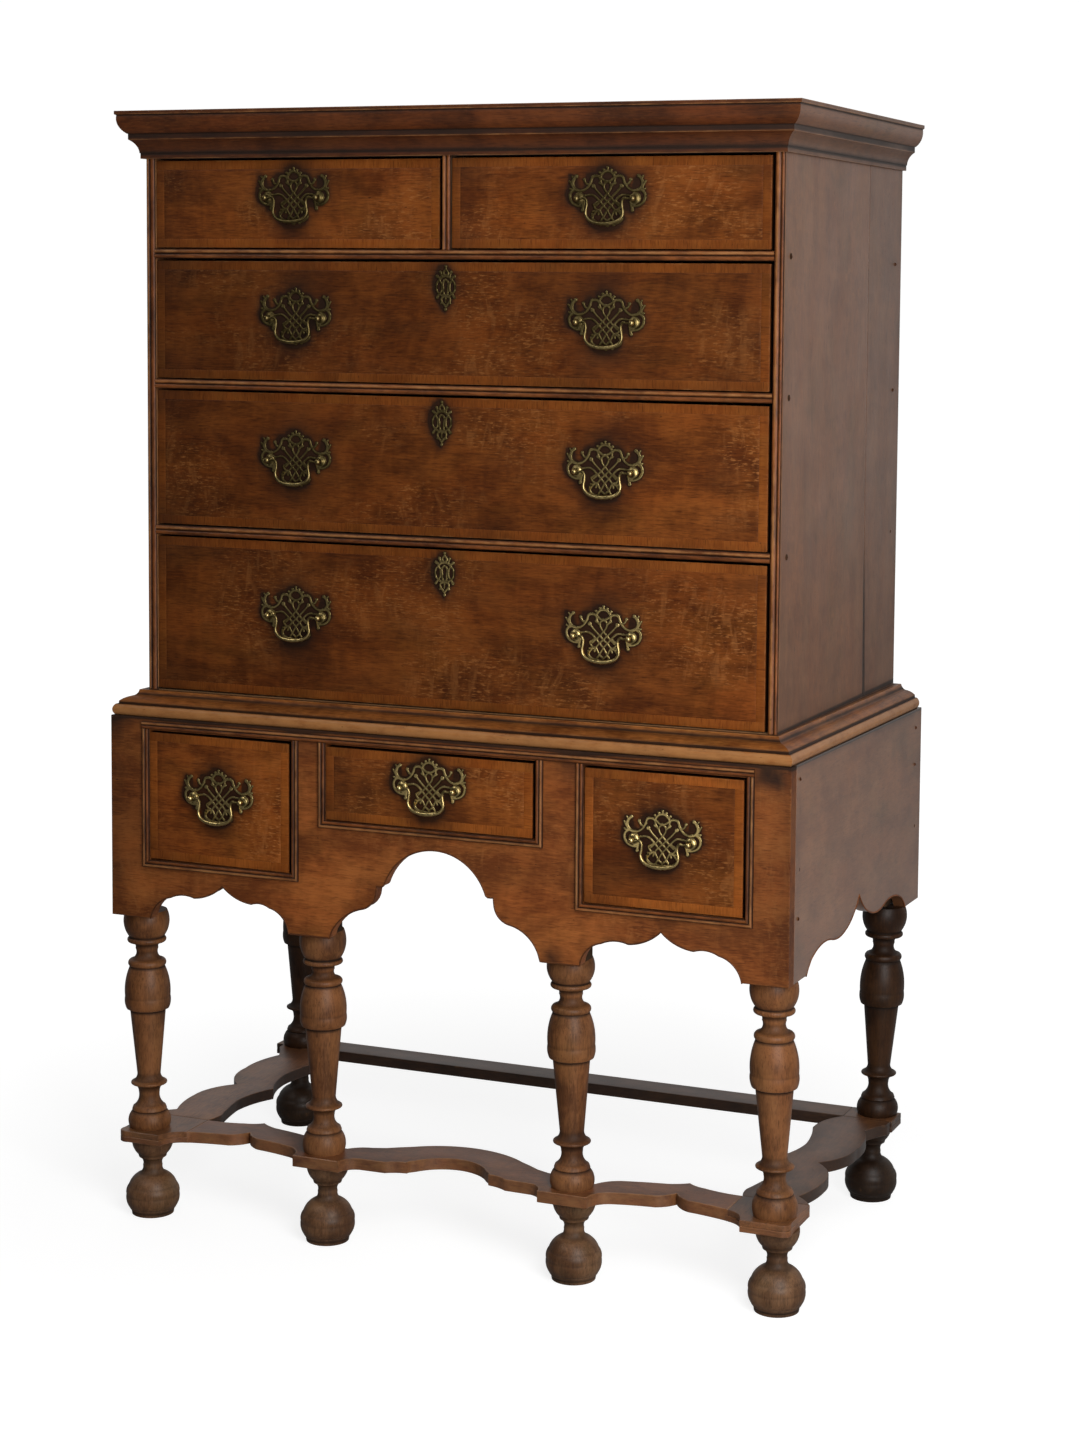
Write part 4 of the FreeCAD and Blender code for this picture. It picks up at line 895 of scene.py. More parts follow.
def dress_mouldings():
    """Cornice and waist moulding, the case's reeds and the stand's beads."""
    low, high = box("case_side_right")
    half, inner, face, back = high[0], low[0], low[1], high[1]
    front = face - REED
    floor, top = (corner[2] for corner in box("cornice"))
    tall = top - floor
    round_case("cornice_moulding", "cornice", share_section(CORNICE, CORNICE_OUT, tall), half, front, back,
               floor, "cornice_oak case_oak", 0.0,
               lambda section: cornice_dirt_and_shade(section / (CORNICE_OUT, tall)))
    foot, head = (corner[2] for corner in box("waist_moulding"))
    deep = head - foot

    def nose(section):
        """Wear on the round nose below the quirk."""
        return 0.58 * (section[:, 1] < 0.44 * deep) * (section[:, 1] > 1)

    round_case("waist_lengths", "waist_moulding", share_section(WAIST, WAIST_OUT, deep), half, front, back,
               foot, "waist_oak waist_side_oak", -0.4,
               lambda section: waist_dirt_and_shade(section / (WAIST_OUT, deep)), nose, with_stand=True)
    work = Work()
    base = box("case_bottom")[1][2]
    for x, valley in ((-inner, 0.6), (half, 0.36)):
        reeds(work, x, face, base, half - inner, REED, "z", floor - base, (0, 0), valley=valley)
    for rail in rails(GAP):
        reeds(work, -inner, face, rail, RAIL, REED, "x", 2 * inner, (0, 0))
    reeds(work, 0, face, rail + RAIL, DIVIDER, REED, "z", floor - rail - RAIL, (0, 0))
    deliver(work, "case_reeds", "reed_oak", [], sharp=50)
    dress_stand_beads()


def dress_stand_beads():
    """Mitred double beads round the stand's drawers, under one that runs right across."""
    face = box("stand_front")[0][1]
    work = Work()
    width, proud = 10, 4.5
    places = [box(f"drawer_stand_{name}_front") for name in ("left", "centre", "right")]
    ceiling = places[0][1][2] + GAP + 2
    outer = places[2][1][0] + GAP
    reeds(work, -outer - width, face, ceiling, width, proud, "x", 2 * (outer + width), (0, 0))
    for low, high in places:
        left, right, foot = low[0] - GAP, high[0] + GAP, low[2] - GAP
        reeds(work, left, face, foot, width, proud, "z", ceiling - foot, (1, 0))
        reeds(work, right, face, foot, width, proud, "z", ceiling - foot, (1, 0), (1, 0, 0))
        reeds(work, left, face, foot, width, proud, "x", right - left, (1, 1), (0, 0, -1))
    deliver(work, "stand_beads", "reed_oak", ["bead_mouldings"], sharp=50)


# ---------------------------------------------------------------- stand
def mirrored(path, other=None, middle=0):
    """A half path and, from its end back to its start, its mirror image about a middle, as the steps
    of one closed outline; other is what is mirrored, where it differs from the path."""
    other = other or path
    ends = [item[1] if isinstance(item[0], tuple) else item for item in other]

    def flip(point):
        """A point on the other side of the middle."""
        return (2 * middle - point[0], point[1])

    left = [(flip(item[0]), flip(before)) if isinstance(item[0], tuple) else flip(before)
            for item, before in zip(other[:0:-1], ends[-2::-1])]
    return [*path, flip(ends[-1]), *left]


LEFT_FEET = (157, 220, 437.5)  # the knee and the feet's ends in the apron's left half


def apron_edge(knee=154, inner=210, outer=434):
    """The front board's shaped lower edge, its right half from the crown of the arch, with the places
    where its feet end."""
    flank = 323
    return [(0, 571), ((42, 559), (75, 517)), (78, 515), (86, 515), (87, 507), ((94, 490), (111, 481)),
            ((139, 465.5), (knee - 3, 447)), (knee, 437), (inner, 437),
            ((inner + 19, 466), (inner + 30, 470)), ((inner + 44, 474.5), (flank - 45, 472.5)),
            ((flank - 17, 480.5), (flank, 493)),
            ((flank + 17, 480.5), (flank + 45, 472.5)), ((outer - 50, 475), (outer - 32, 470)),
            ((outer - 16, 463), (outer, 437))]


def side_edge():
    """A side board's shaped lower edge from its back to its front: (y, z)."""
    middle = 16
    flank = [(middle, 500), ((middle - 24, 478), (middle - 58, 463.5)),
             ((middle - 88, 459.2), (middle - 118, 463)), ((middle - 164, 465.8), (middle - 204, 455)),
             (middle - 216, 446), (middle - 224, 437)]
    return mirrored(flank, middle=middle)[len(flank):] + flank[1:]


def apron_tone(points):
    """Tone of the front board: lighter at its middle and towards its lower edge."""
    across = np.interp(points[:, 0], (-500, -430, -200, 200, 420, 500), (-1.3, -0.2, 1.5, 1.2, 0, -1.4))
    return across + np.clip((540 - points[:, 2]) / 60, 0, 1)


def dress_apron():
    """The front board, sawn to its shaped edge round its three openings."""
    low, high = box("stand_front")
    half = high[0]
    ends = [(half, low[2]), (half, high[2])]
    outline = bent(mirrored(apron_edge() + ends, apron_edge(*LEFT_FEET) + ends), 6)
    holes = []
    for name in ("left", "centre", "right"):
        a, b = box(f"drawer_stand_{name}_front")
        a, b = a - GAP, b + GAP
        holes.append(bent([(a[0], a[2]), (b[0], a[2]), (b[0], b[2]), (a[0], b[2]), (a[0], a[2])], 14))
    stains = [(-half, 712, 22, 0.8), (half - 14, 696, 9, 0.9), (half - 34, 704, 13, 0.8),
              (half - 52, 699, 7, 0.6), (172, 447, 12, 0.8), (-200, 712, 30, 0.5), (200, 712, 30, 0.5),
              (-half, 500, 26, 0.3)]
    work = Work()
    sawn(work, [outline] + holes, (0, 2, 1), low[1], high[1], "x", 15, stains=stains, wear=0.35,
         tone=apron_tone, lid=high[2])
    rack(work)
    deliver(work, "apron_board", "stand_oak", ["stand_front"])


def dress_stand_boards():
    """The stand's apron, its shaped sides, its back and its top."""
    dress_apron()
    edge = side_edge()
    for side in ("left", "right"):
        low, high = box(f"stand_side_{side}")
        outline = bent(edge + [(low[1], low[2]), (low[1], high[2]), (high[1], high[2]), (high[1], low[2]),
                               edge[0]], 6)
        work = Work()
        # tone 2.2 lightens the side boards, partly as their own colour and partly as a painted sheen
        sawn(work, [outline], (1, 2, 0), low[0], high[0], "y", 20, tone=2.2, dirt=0.2, wear=0.15,
             lid=high[2])
        rack(work)
        deliver(work, f"stand_{side}_board", "side_oak", [f"stand_side_{side}"])
    work = Work()
    low, high = box("stand_back")
    plank(work, low, high, "x", dirt=0.5)
    rack(work)
    deliver(work, "stand_back_board", "inside_oak", ["stand_back"])
    panel("stand_top", "stand_top_boards", "inside_oak", "oak_inside", 1, (-60, 110), "x", dirt=0.4)


# profiles of the turnings: (radius, height), top first
LEG = [(12, 437), (29, 437), ((32, 418), (25, 400)), (25, 398.5), ((27.4, 394.5), (25.5, 391.5)),
       ((17.6, 389), (16, 382)), ((16.6, 371), (24.5, 366)), ((26.8, 361.5), (24.4, 356.5)),
       ((31, 333), (31.8, 310)), ((31.9, 298), (30, 291.5)), (25, 289.3), (16.3, 199),
       ((18, 193.5), (24.4, 188.5)), ((25.4, 186.8), (24.2, 185)), ((17.4, 181.5), (14.7, 174)),
       ((16.2, 162), (23, 154.5)), (24.4, 150.6), (23.6, 149), ((29.8, 137), (27.8, 125)), (12, 125)]
FOOT = [(12, 109), (29, 109), ((27.6, 97), (20.5, 86)), (19.4, 82), ((14.2, 77), (13.8, 69)),
        ((14.4, 62.5), (21.5, 56.5)), ((29.5, 49.5), (34, 41)), ((37.2, 35), (37.3, 28)),
        ((37.1, 18), (33.8, 10.5)), (32.9, 9.8), (33, 8.8), (30.2, 5), (29.5, 0), (12, 0)]
LEANS = {  # leg: its shift to the right at its top, at its foot and of its ball foot, and the shift back
    "front_outer_left": (-9, -4, 0, 0), "front_inner_left": (-6, -3, 2, 0),
    "front_inner_right": (-7.5, -1.2, 1.2, 0), "front_outer_right": (-2.5, 4.8, 8, 0),
    "back_left": (-2, -6, -10, -13), "back_right": (9.5, 1.0, -6, 7)}
PATTERN = (125, 152, 187, 291, 362, 395, 437)  # heights of a leg's foot, its turned members and its top
LIFTS = {  # leg: how much higher the members are on it than in the pattern
    "front_outer_left": (0, 0, 2, 5, 0, 0, 0), "front_inner_left": (0, 5, 2, 11, 3, -3, 0),
    "front_inner_right": (0, 1, 0, 9, 5, 3.5, 0), "front_outer_right": (0, 5, 3, 3.5, 0, 0, 0)}


def dress_legs():
    """Six turned legs, each a little out of true, and their ball feet; the back ones have darkened
    most."""
    feet = Work()
    for place in ("front_outer", "front_inner", "back"):
        for side in ("left", "right"):
            name = f"{place}_{side}"
            low, high = box(f"leg_{name}")
            x, y = (low[0] + high[0]) / 2, (low[1] + high[1]) / 2
            back = place == "back"
            tone = -4.9 if back else {"front_outer": -0.2, "front_inner": 0.3}[place] + RNG.normal(0, 0.3)
            head, foot, ball, behind = LEANS[name]
            work = Work()
            turning(work, bent(LEG, 2.2), x, y + behind, tone=tone, wear=0.4, dirt=1.0)
            leg = work.points[0]
            leg[:, 2] += np.interp(leg[:, 2], PATTERN, LIFTS.get(name, (0,) * len(PATTERN)))
            leg[:, 0] += np.interp(leg[:, 2], (low[2], high[2]), (foot, head))
            leg[:, 2] -= np.interp(leg[:, 2], (low[2], high[2]), (0, SUNK * back))
            deliver(work, f"turned_leg_{name}", "turned_oak", [f"leg_{name}"], sharp=40)
            turning(feet, bent(FOOT, 2.2), x + ball, y + behind, tone=max(tone - 0.6, -5.2),
                    scuff=lambda z: (0.35 * np.exp(-np.abs(z - 20) / 12), 0.55 * np.exp(-z / 9)))
    deliver(feet, "turned_feet", "foot_oak", ["ball_feet"], sharp=40)


REACHES = ((-1, 508), (1, 498))  # side, and how far the stretchers reach out on it


def dress_stretchers():
    """Flat stretchers, half-lapped at the corners, brighter on top than at their edges."""
    low, high = box("stretcher_front")
    floor, top = low[2], box("stretcher_sides")[1][2]
    middle, rear, front, edge, lap, play = (floor + top) / 2, -180, -270, 498, 405, 0.05
    straight = 425  # where the plain lengths end and their laps start

    def lit(level):
        """A tone for what faces up, over dark edges."""
        return lambda points: np.where(points[:, 2] > top - 0.1, level, -4.6)

    half = [(0, -195), ((28, -202), (52, -223)), (60, -231), (61, -235), ((77, -239), (90, -246)),
            (128, -247), ((142, -255), (148, front)), (219, front), ((226, -249), (243, -238)),
            ((270, -231.5), (299, -227)), ((312, -219), (322, -206)), ((332, -219), (345, -227)),
            ((374, -231.5), (402, -238)), (lap, -239.5), (lap, rear), (403, rear),
            ((375, -178), (350, -172)), ((336, -168), (324, -160)), ((312, -168), (298, -174)),
            ((268, -180), (240, -187)), ((222, -196), (208, -214)), (163, -214), ((152, -204), (133, -197)),
            (115, -190), (100, -180), (83, -170), ((43, -149), (0, -142))]
    corner = bent([(lap, -239.5), ((421, -248), (432, front)), (edge - 16, front),
                   ((edge - 3, front + 2), (edge, front + 16)), (edge, rear), (lap, rear),
                   (lap, -239.5)], 5)
    wave = bent([(edge, rear), ((490, -168), (474, -152)), ((484, -118), (487, -82)),
                 ((480, -42), (456, -10)), ((480, 24), (487, 68)), ((486, 112), (474, 150)),
                 ((486, 176), (495, 190)), (496, 205), (straight, 205), ((404, 170), (400, 138)),
                 ((410, 98), (414, 64)), ((408, 24), (394, -10)), ((408, -42), (414, -82)),
                 ((408, -118), (400, -152)), ((401, -166), (lap, rear)), (edge, rear)], 5)
    flat = {"axes": (0, 1, 2), "cell": 13}
    work = Work()
    sawn(work, [bent(mirrored(half), 5)], low=floor, high=top, along="x", wear=0.8, **flat)
    for sign, _ in REACHES:
        sawn(work, [corner * (sign, 1)], low=floor, high=middle - play, along="x", **flat)
    deliver(work, "front_stretcher", "stretcher_oak", ["stretcher_front"])
    work = Work()
    low, high = box("stretcher_back")
    plank(work, (-straight, low[1], floor), (straight, high[1], top), "x", cell=18, wear=0.3,
          tone=lit(-1.6))
    for sign, reach in REACHES:
        ends = sorted((sign * (straight + 0.1), sign * reach))
        plank(work, (ends[0], low[1], floor), (ends[1], high[1], middle - play), "x", wear=0.2, tone=-3)
    deliver(work, "back_stretcher", "flat_oak", ["stretcher_back"])
    work = Work()
    for sign, reach in REACHES:
        # the left side stretcher's top gets the stronger painted sheen
        tone = lit(4.2 if sign < 0 else -1.2)
        sawn(work, [wave * (sign, 1)], low=floor, high=top, along="y", wear=0.3, tone=tone, **flat)
        sawn(work, [corner * (sign, 1)], low=middle + play, high=top, along="y", wear=0.3, dirt=0,
             tone=0.5, **flat)
        ends = sorted((sign * straight, sign * reach))
        plank(work, (ends[0], 205.1, middle + play), (ends[1], 253, top), "y", cell=14, wear=0.3, tone=tone)
    deliver(work, "side_stretchers", "flat_oak", ["stretcher_sides"])


# ---------------------------------------------------------------- drawers
FRONT_TONES_AND_LIGHT = {  # name: tone of a front at its left end, middle and right end, and of its crossbanding; partly the oak's own tone and partly painted light, most fronts brighter towards the right, where the light falls
    "top_left": (0, 0.2, 0.5, 0.4), "top_right": (0.3, -0.4, -1.3, 0.4), "upper": (-2.5, -1.5, -1.2, 0.4),
    "middle": (-1.9, -1.1, 0.6, 0.4), "lower": (-1.7, -1.4, 0.2, 0.4), "stand_left": (2.4, 2.4, 2.4, 0.4),
    "stand_centre": (2.4, 2.2, 2.2, 0.4), "stand_right": (0.4, -0.4, -0.5, 3.4)}
SETTLED = {  # name: how far a front hangs low at its left and at its right end, and is off to the left
    "top_left": (0.6, 0.9, 1.8), "top_right": (0.4, 1.0, 1.8), "upper": (0.9, 0.9, 1.8),
    "middle": (0.4, 1.3, 1.8), "lower": (0.3, 1.2, 1.8), "stand_left": (0.2, 1.6, 1.8),
    "stand_right": (0.9, 0.9, 0.8), "stand_centre": (0.9, 1.3, 1.8)}
# right halves of a handle's plate and of an escutcheon, as the outline that polish has built up round
WINGS = [(0, 38), ((8, 36), (12, 28)), ((20, 31), (26, 17)), ((32, 12), (40, 12)), (42, 27), (50, 30),
         (52, 14), ((54, 2), (46, -7)), ((38, -10), (36, -15)), (31, -8), ((25, -10), (23, -25)),
         ((12, -34), (0, -35))]
SHIELD = [(0, 31), ((9, 22), (13, 15)), ((15, 2), (12, -12)), ((7, -20), (0, -31))]


def dress_drawer_front(name):
    """A solid front with a facing of quartered oak inside crossbanding, dark where polish has
    built up round its brass."""
    low, high = box(f"drawer_{name}_front")
    band, thick, cell = size("banding"), size("banding_thick"), size("front_cell")
    handles, lock = DRAWERS[name]
    middle = (low + high) / 2
    brass, clouds = [], []  # outlines of the brass, and dark places: (x, z, width, height, strength)
    for across, up in handles:
        x, z = middle[0] + across, middle[2] + up
        brass.append(bent(mirrored(WINGS), 4) + (x, z))
        clouds += [(x, z, 58, 40, 0.42), (x + 4, z + 42, 30, 24, 0.45), (x, z - 42, 34, 17, 0.4)]
    if lock is not None:
        x, z = middle[0] + lock[0], middle[2] + lock[1]
        brass.append(bent(mirrored(SHIELD), 4) + (x, z))
        clouds.append((x, z + 2, 24, 34, 0.4))
    clouds += [(low[0], low[2], 60, 50, 0.4), (low[0], high[2], 70, 45, 0.45),
               (high[0], high[2], 36, 28, 0.2)]
    clouds += [(RNG.uniform(low[0], high[0]), RNG.uniform(low[2], high[2]), RNG.uniform(18, 60),
                RNG.uniform(9, 26), RNG.uniform(0.05, 0.2)) for _ in range(int((high[0] - low[0]) / 60))]

    def soil(points):
        """Dirt of the clouds, and under and round the brass."""
        spots = points[:, [0, 2]]
        total = np.zeros(len(points))
        for x, z, wide, tall, strength in clouds:
            total += strength * np.exp(-((spots[:, 0] - x) / wide) ** 2 - ((spots[:, 1] - z) / tall) ** 2)
        for loop in brass:
            away = loop_distance(spots, [loop])
            # under the brass built-up polish and painted shade, round it built-up polish
            total += np.where(inside(spots, [loop]), 1.3, np.exp(-away / 4.0))
        return total

    left_drop, right_drop, to_left = SETTLED[name]
    *tones, band_tone = FRONT_TONES_AND_LIGHT[name]

    def settled(points):
        """The front's points hanging a little low and to the left."""
        share = (points[:, 0] - low[0]) / (high[0] - low[0])
        return points - np.column_stack([to_left + 1.4 * share, np.zeros(len(points)),
                                         left_drop + (right_drop - left_drop) * share])

    def shade(extra):
        """A tone that changes along the front."""
        return lambda points: extra + np.interp(points[:, 0], (low[0], middle[0], high[0]), tones)

    back = low[1] + thick
    work = Work()
    plank(work, (low[0], back, low[2]), high, "x", dirt=0.4, whole=(low, high), bend=settled,
          soil=lambda points: np.clip(1.3 - (points[:, 1] - low[1]) / 22, 0, 1))
    common = {"whole": (low, high), "edge": 0.16, "soil": soil, "bend": settled, "dirt": 0.1}
    plank(work, (low[0] + band, low[1], low[2] + band), (high[0] - band, back, high[2] - band), "x",
          cell=cell, tone=shade(RNG.normal(0, 0.2)), **common)
    strips = [((low[0], z), (high[0], z + band), "z") for z in (low[2], high[2] - band)]
    strips += [((x, low[2] + band), (x + band, high[2] - band), "x") for x in (low[0], high[0] - band)]
    for first, last, along in strips:
        plank(work, (first[0], low[1], first[1]), (last[0], back, last[1]), along, cell=cell * 1.6,
              wear=0.35, tone=shade(RNG.normal(band_tone, 0.25)), slot=1, **common)
    deliver(work, f"front_{name}", "front_oak band_oak", [f"drawer_{name}_front"],
            f"drawer_{name}")


def dress_drawer_box(name):
    """Sides, bottom and back of a drawer."""
    low, high = box(f"drawer_{name}_box")
    side, bottom, back = size("drawer_side"), size("drawer_bottom"), size("drawer_back")
    floor = low[2] - RUN_GAP + size("bottom_raise")
    work = Work()
    plank(work, low, (low[0] + side, high[1], high[2]), "y", dirt=0.35)
    plank(work, (high[0] - side, low[1], low[2]), high, "y", dirt=0.35)
    inner = (low[0] + side, high[0] - side)
    plank(work, (inner[0], low[1], floor), (inner[1], high[1], floor + bottom), "x", dirt=0.5)
    plank(work, (inner[0], high[1] - back, floor + bottom), (inner[1], high[1], high[2]), "x", dirt=0.35)
    deliver(work, f"box_{name}", "inside_oak", [f"drawer_{name}_box"], f"drawer_{name}")


# ---------------------------------------------------------------- pierced brass
def smooth(points, count=6):
    """A smooth run through the given points: (u, v, half width) each."""
    points = np.array(points, float)
    if len(points) < 3:
        share = np.linspace(0, 1, count + 1)[:, None]
        return points[0] + share * (points[1] - points[0])
    padded = np.vstack([2 * points[0] - points[1], points, 2 * points[-1] - points[-2]])
    made = []
    for a, b, c, d in zip(padded, padded[1:], padded[2:], padded[3:]):
        t = np.linspace(0, 1, count, endpoint=False)[:, None]
        made.append(0.5 * (2 * b + (c - a) * t + (2 * a - 5 * b + 4 * c - d) * t ** 2
                           + (3 * b - a - 3 * c + d) * t ** 3))
    return np.vstack([*made, points[-1:]])


def strokes(*runs):
    """Strokes of the right half and, mirrored, of the left: each run is (half width, u, v, u, v...),
    or has several half widths to go through in the place of one."""
    made = []
    for run in runs:
        widths = run[0] if isinstance(run[0], tuple) else (run[0], run[0])
        pairs = np.array(run[1:], float).reshape(-1, 2)
        half = np.interp(np.linspace(0, 1, len(pairs)), np.linspace(0, 1, len(widths)), widths)
        made.append(np.column_stack([pairs, half + np.interp(half, (1.0, 2.4), (0.42, 0.15))]))
    return made + [run * (-1, 1, 1) for run in made if np.abs(run[:, 0]).max() > 0.01]


PLATE_STROKES = (
    (1.7, 0, 35.5, 5, 34, 9, 29.5, 10.2, 26), (1.0, 0, 36, 0, 39.5), (1.0, 4.6, 34, 5, 36.6),
    (1.0, 8.6, 31, 10.4, 33), (1.7, 0, 39.6, 0.2, 39.6), (1.8, 5, 36.8, 5.2, 36.8),
    (1.7, 10.6, 33.2, 10.8, 33.2), (1.3, 0, 22.2, 4.6, 23, 8.5, 26), (1.2, 10, 26, 9.2, 21, 6.4, 16.5),
    ((2.0, 0.9), 10.4, 20, 7, 17.5), (1.1, 0, 21.6, 3.8, 19.2, 4.9, 15.2, 3.3, 10.6, 0, 6.4),
    ((1.5, 1.9, 1.3), 9.8, 26.4, 13, 28.6, 17.5, 29, 21, 27.4, 22.8, 23, 25, 18.6),
    (1.35, 22.4, 22, 25, 17.6, 28.5, 13.6, 33, 10.8, 38, 9.8),
    ((1.1, 1.3), 25.4, 17.6, 29.4, 19.4, 31.6, 22.6), (2.2, 32, 24.4, 32.2, 24.4),
    (2.9, 19.4, 16, 19.6, 16), (1.1, 19, 15.4, 13.6, 9, 5.2, 0.8),
    ((1.6, 2.3, 2.4, 1.7), 36, 10, 43, 11, 47.6, 15, 48.6, 20.6, 46.4, 25.6, 43.6, 28.4),
    (2.5, 43, 28.8, 43.2, 28.8), ((1.1, 0.8), 47, 25, 49.4, 29), ((1.9, 0.9), 48.6, 16, 53.2, 22.6),
    ((2.0, 1.0), 47, 11, 52.4, 12.6),
    ((1.9, 1.8, 1.6), 46, 13, 51.4, 7, 52, 1, 49, -5, 43, -8.6, 36, -9.6), (7.6, 39, 0.6, 39.2, 0.6),
    (2.4, 33, -5, 38, -7.6), ((2.4, 1.7), 33.6, -7, 34.4, -13.4), (2.4, 34.5, -14.6, 34.7, -14.6),
    ((1.1, 1.2), 32, 3.6, 27, 4.4, 21.6, 4.8, 16.4, 2.4, 11, -2.8), (1.1, 11, -2.8, 5.5, -9, 0, -14.6),
    (1.1, 0, 6.4, 5.2, 0.8, 10.6, -4.4, 15.6, -9), (1.1, 5.2, 0.8, 0, -4.2),
    (1.1, 0, -4.2, 5.5, -9, 10.4, -14.6), (1.2, 11, -2.8, 14.6, -5.4, 19, -8),
    (1.2, 19, -8, 17.6, -11.6, 14, -14.6, 10.4, -14.6), (1.1, 10.4, -14.6, 5.6, -24.4),
    (1.1, 0, -14.6, 5.6, -24.4), ((1.3, 1.0), 14, -14.6, 19.6, -21.6), ((1.6, 1.0), 14, -16, 20.2, -16.4),
    ((1.5, 1.2), 5.6, -24.4, 8.4, -28.2), (1.2, 5.6, -24.4, 0, -29), (1.2, 10.4, -14.6, 12.4, -20.2),
    ((1.5, 1.8, 1.8), 21, -20, 20.4, -26, 15, -30.4, 7, -32, 0, -32.6), (2.4, 8.6, -33, 8.8, -33),
    (2.6, 0, -34, 0.2, -34), (1.2, 19.6, -21.6, 21, -24), (1.4, 14.6, -31, 14.8, -31),
)
ESCUTCHEON_STROKES = (
    (1.3, 2.6, 8.8, 4.2, 5, 3.4, 0.6, 3, -4, 2.6, -9.6), (1.3, 0, 10.6, 2.6, 8.8),
    (1.4, 2.6, -9.6, 0, -10.4), (1.1, 9.4, 9.6, 12.6, 6, 13.4, 1, 12.6, -4.4, 9.4, -8.4),
    (1.1, 9.4, 9.6, 6.6, 6, 5.8, 1, 6.4, -4.6, 9.4, -8.4), ((1.6, 1.3), 9.4, 9.8, 5.4, 13.6, 0, 15),
    ((1.3, 1.9), 8, 12, 12.2, 14.4), (2.1, 12.6, 15, 12.8, 15), ((1.2, 1.4), 5.4, 13.6, 7.4, 19.6),
    (2.0, 7.6, 20.4, 7.8, 20.4), (1.3, 0, 15, 3.6, 19, 0, 24.6), (2.0, 0, 27.6, 0.1, 27.6),
    (1.5, 9.4, -8.4, 5, -10.8, 0, -11.4), ((1.3, 1.9), 9.4, -8.4, 12, -12.4), (2.1, 12.4, -13, 12.6, -13),
    (1.4, 0, -11.4, 5.6, -13.4, 6, -18, 2.4, -22.4, 0, -25.4), (1.2, 0, -13, 0, -19),
    (2.1, 0, -28.6, 0.1, -28.6), (1.6, 6.4, -20.6, 6.5, -20.6),
)


def stroke_depth(spots, runs):
    """How deep each spot lies inside the nearest stroke."""
    best = np.full(len(spots), -1e9)
    for run in runs:
        path = smooth(run)
        for start, end in zip(path, path[1:]):
            leg = end[:2] - start[:2]
            share = np.clip(((spots - start[:2]) @ leg) / max(leg @ leg, 1e-9), 0, 1)
            away = np.linalg.norm(spots - start[:2] - share[:, None] * leg, axis=1)
            best = np.maximum(best, start[2] + share * (end[2] - start[2]) - away)
    return best


def pierced_plate(runs, low, high, thick):
    """A pierced plate with rounded edges that faces -Y: the region covered by the strokes."""
    cell = size("plate_cell")
    us, vs = np.arange(low[0], high[0] + cell, cell), np.arange(low[1], high[1] + cell, cell)
    grid = np.stack(np.meshgrid(us, vs, indexing="ij"), axis=-1)
    depth = stroke_depth(grid.reshape(-1, 2), runs).reshape(grid.shape[:2])
    index, spots, depths, faces = {}, [], [], []

    def number(key, spot, value):
        """The number of the spot with this key, which is noted when it is new."""
        if key not in index:
            index[key] = len(spots)
            spots.append(spot)
            depths.append(value)
        return index[key]

    ring = ((0, 0), (1, 0), (1, 1), (0, 1))
    for i in range(len(us) - 1):
        for j in range(len(vs) - 1):
            corners = [(i + di, j + dj) for di, dj in ring]
            values = [depth[c] for c in corners]
            if max(values) <= 0:
                continue
            face = []
            nexts = zip(corners[1:] + corners[:1], values[1:] + values[:1])
            for (a, da), (b, db) in zip(zip(corners, values), nexts):
                if da > 0:
                    face.append(number(a, grid[a], da))
                if (da > 0) != (db > 0):
                    share = min(max(da / (da - db), 0.08), 0.92)
                    face.append(number(tuple(sorted((a, b))), grid[a] + (grid[b] - grid[a]) * share, 0.0))
            if len(face) > 2:
                faces.append(face)
    spots, depths = np.array(spots), np.array(depths)
    rise = thick * (0.35 + 0.65 * np.sqrt(np.clip(1 - (1 - np.clip(depths / 1.0, 0, 1)) ** 2, 0, 1)))
    front = np.column_stack([spots[:, 0], -rise, spots[:, 1]])
    back = np.column_stack([spots[:, 0], np.zeros(len(spots)), spots[:, 1]])
    count, used = len(spots), {}
    for face in faces:
        for a, b in zip(face, face[1:] + face[:1]):
            used[(a, b)] = used.get((a, b), 0) + 1
    walls = [[b, a, a + count, b + count] for a, b in used if (b, a) not in used]
    backs = [[i + count for i in face[::-1]] for face in faces]
    work = Work()
    points = np.vstack([front, back])
    wear = np.concatenate([np.clip(depths / 2.6, 0, 1) ** 1.6 * (depths < 4) * 0.9, np.zeros(count)])
    soil = np.concatenate([np.exp(-depths / 0.5) * 0.35, np.ones(count)])
    work.add(points, faces + walls + backs, grained(points, "x"), wear, soil)
    return work


def facing_front(work):
    """Turns upright work so that its top points to the front."""
    for points in work.points:
        points[:] = np.column_stack([points[:, 0], -points[:, 2], points[:, 1]])
    return work


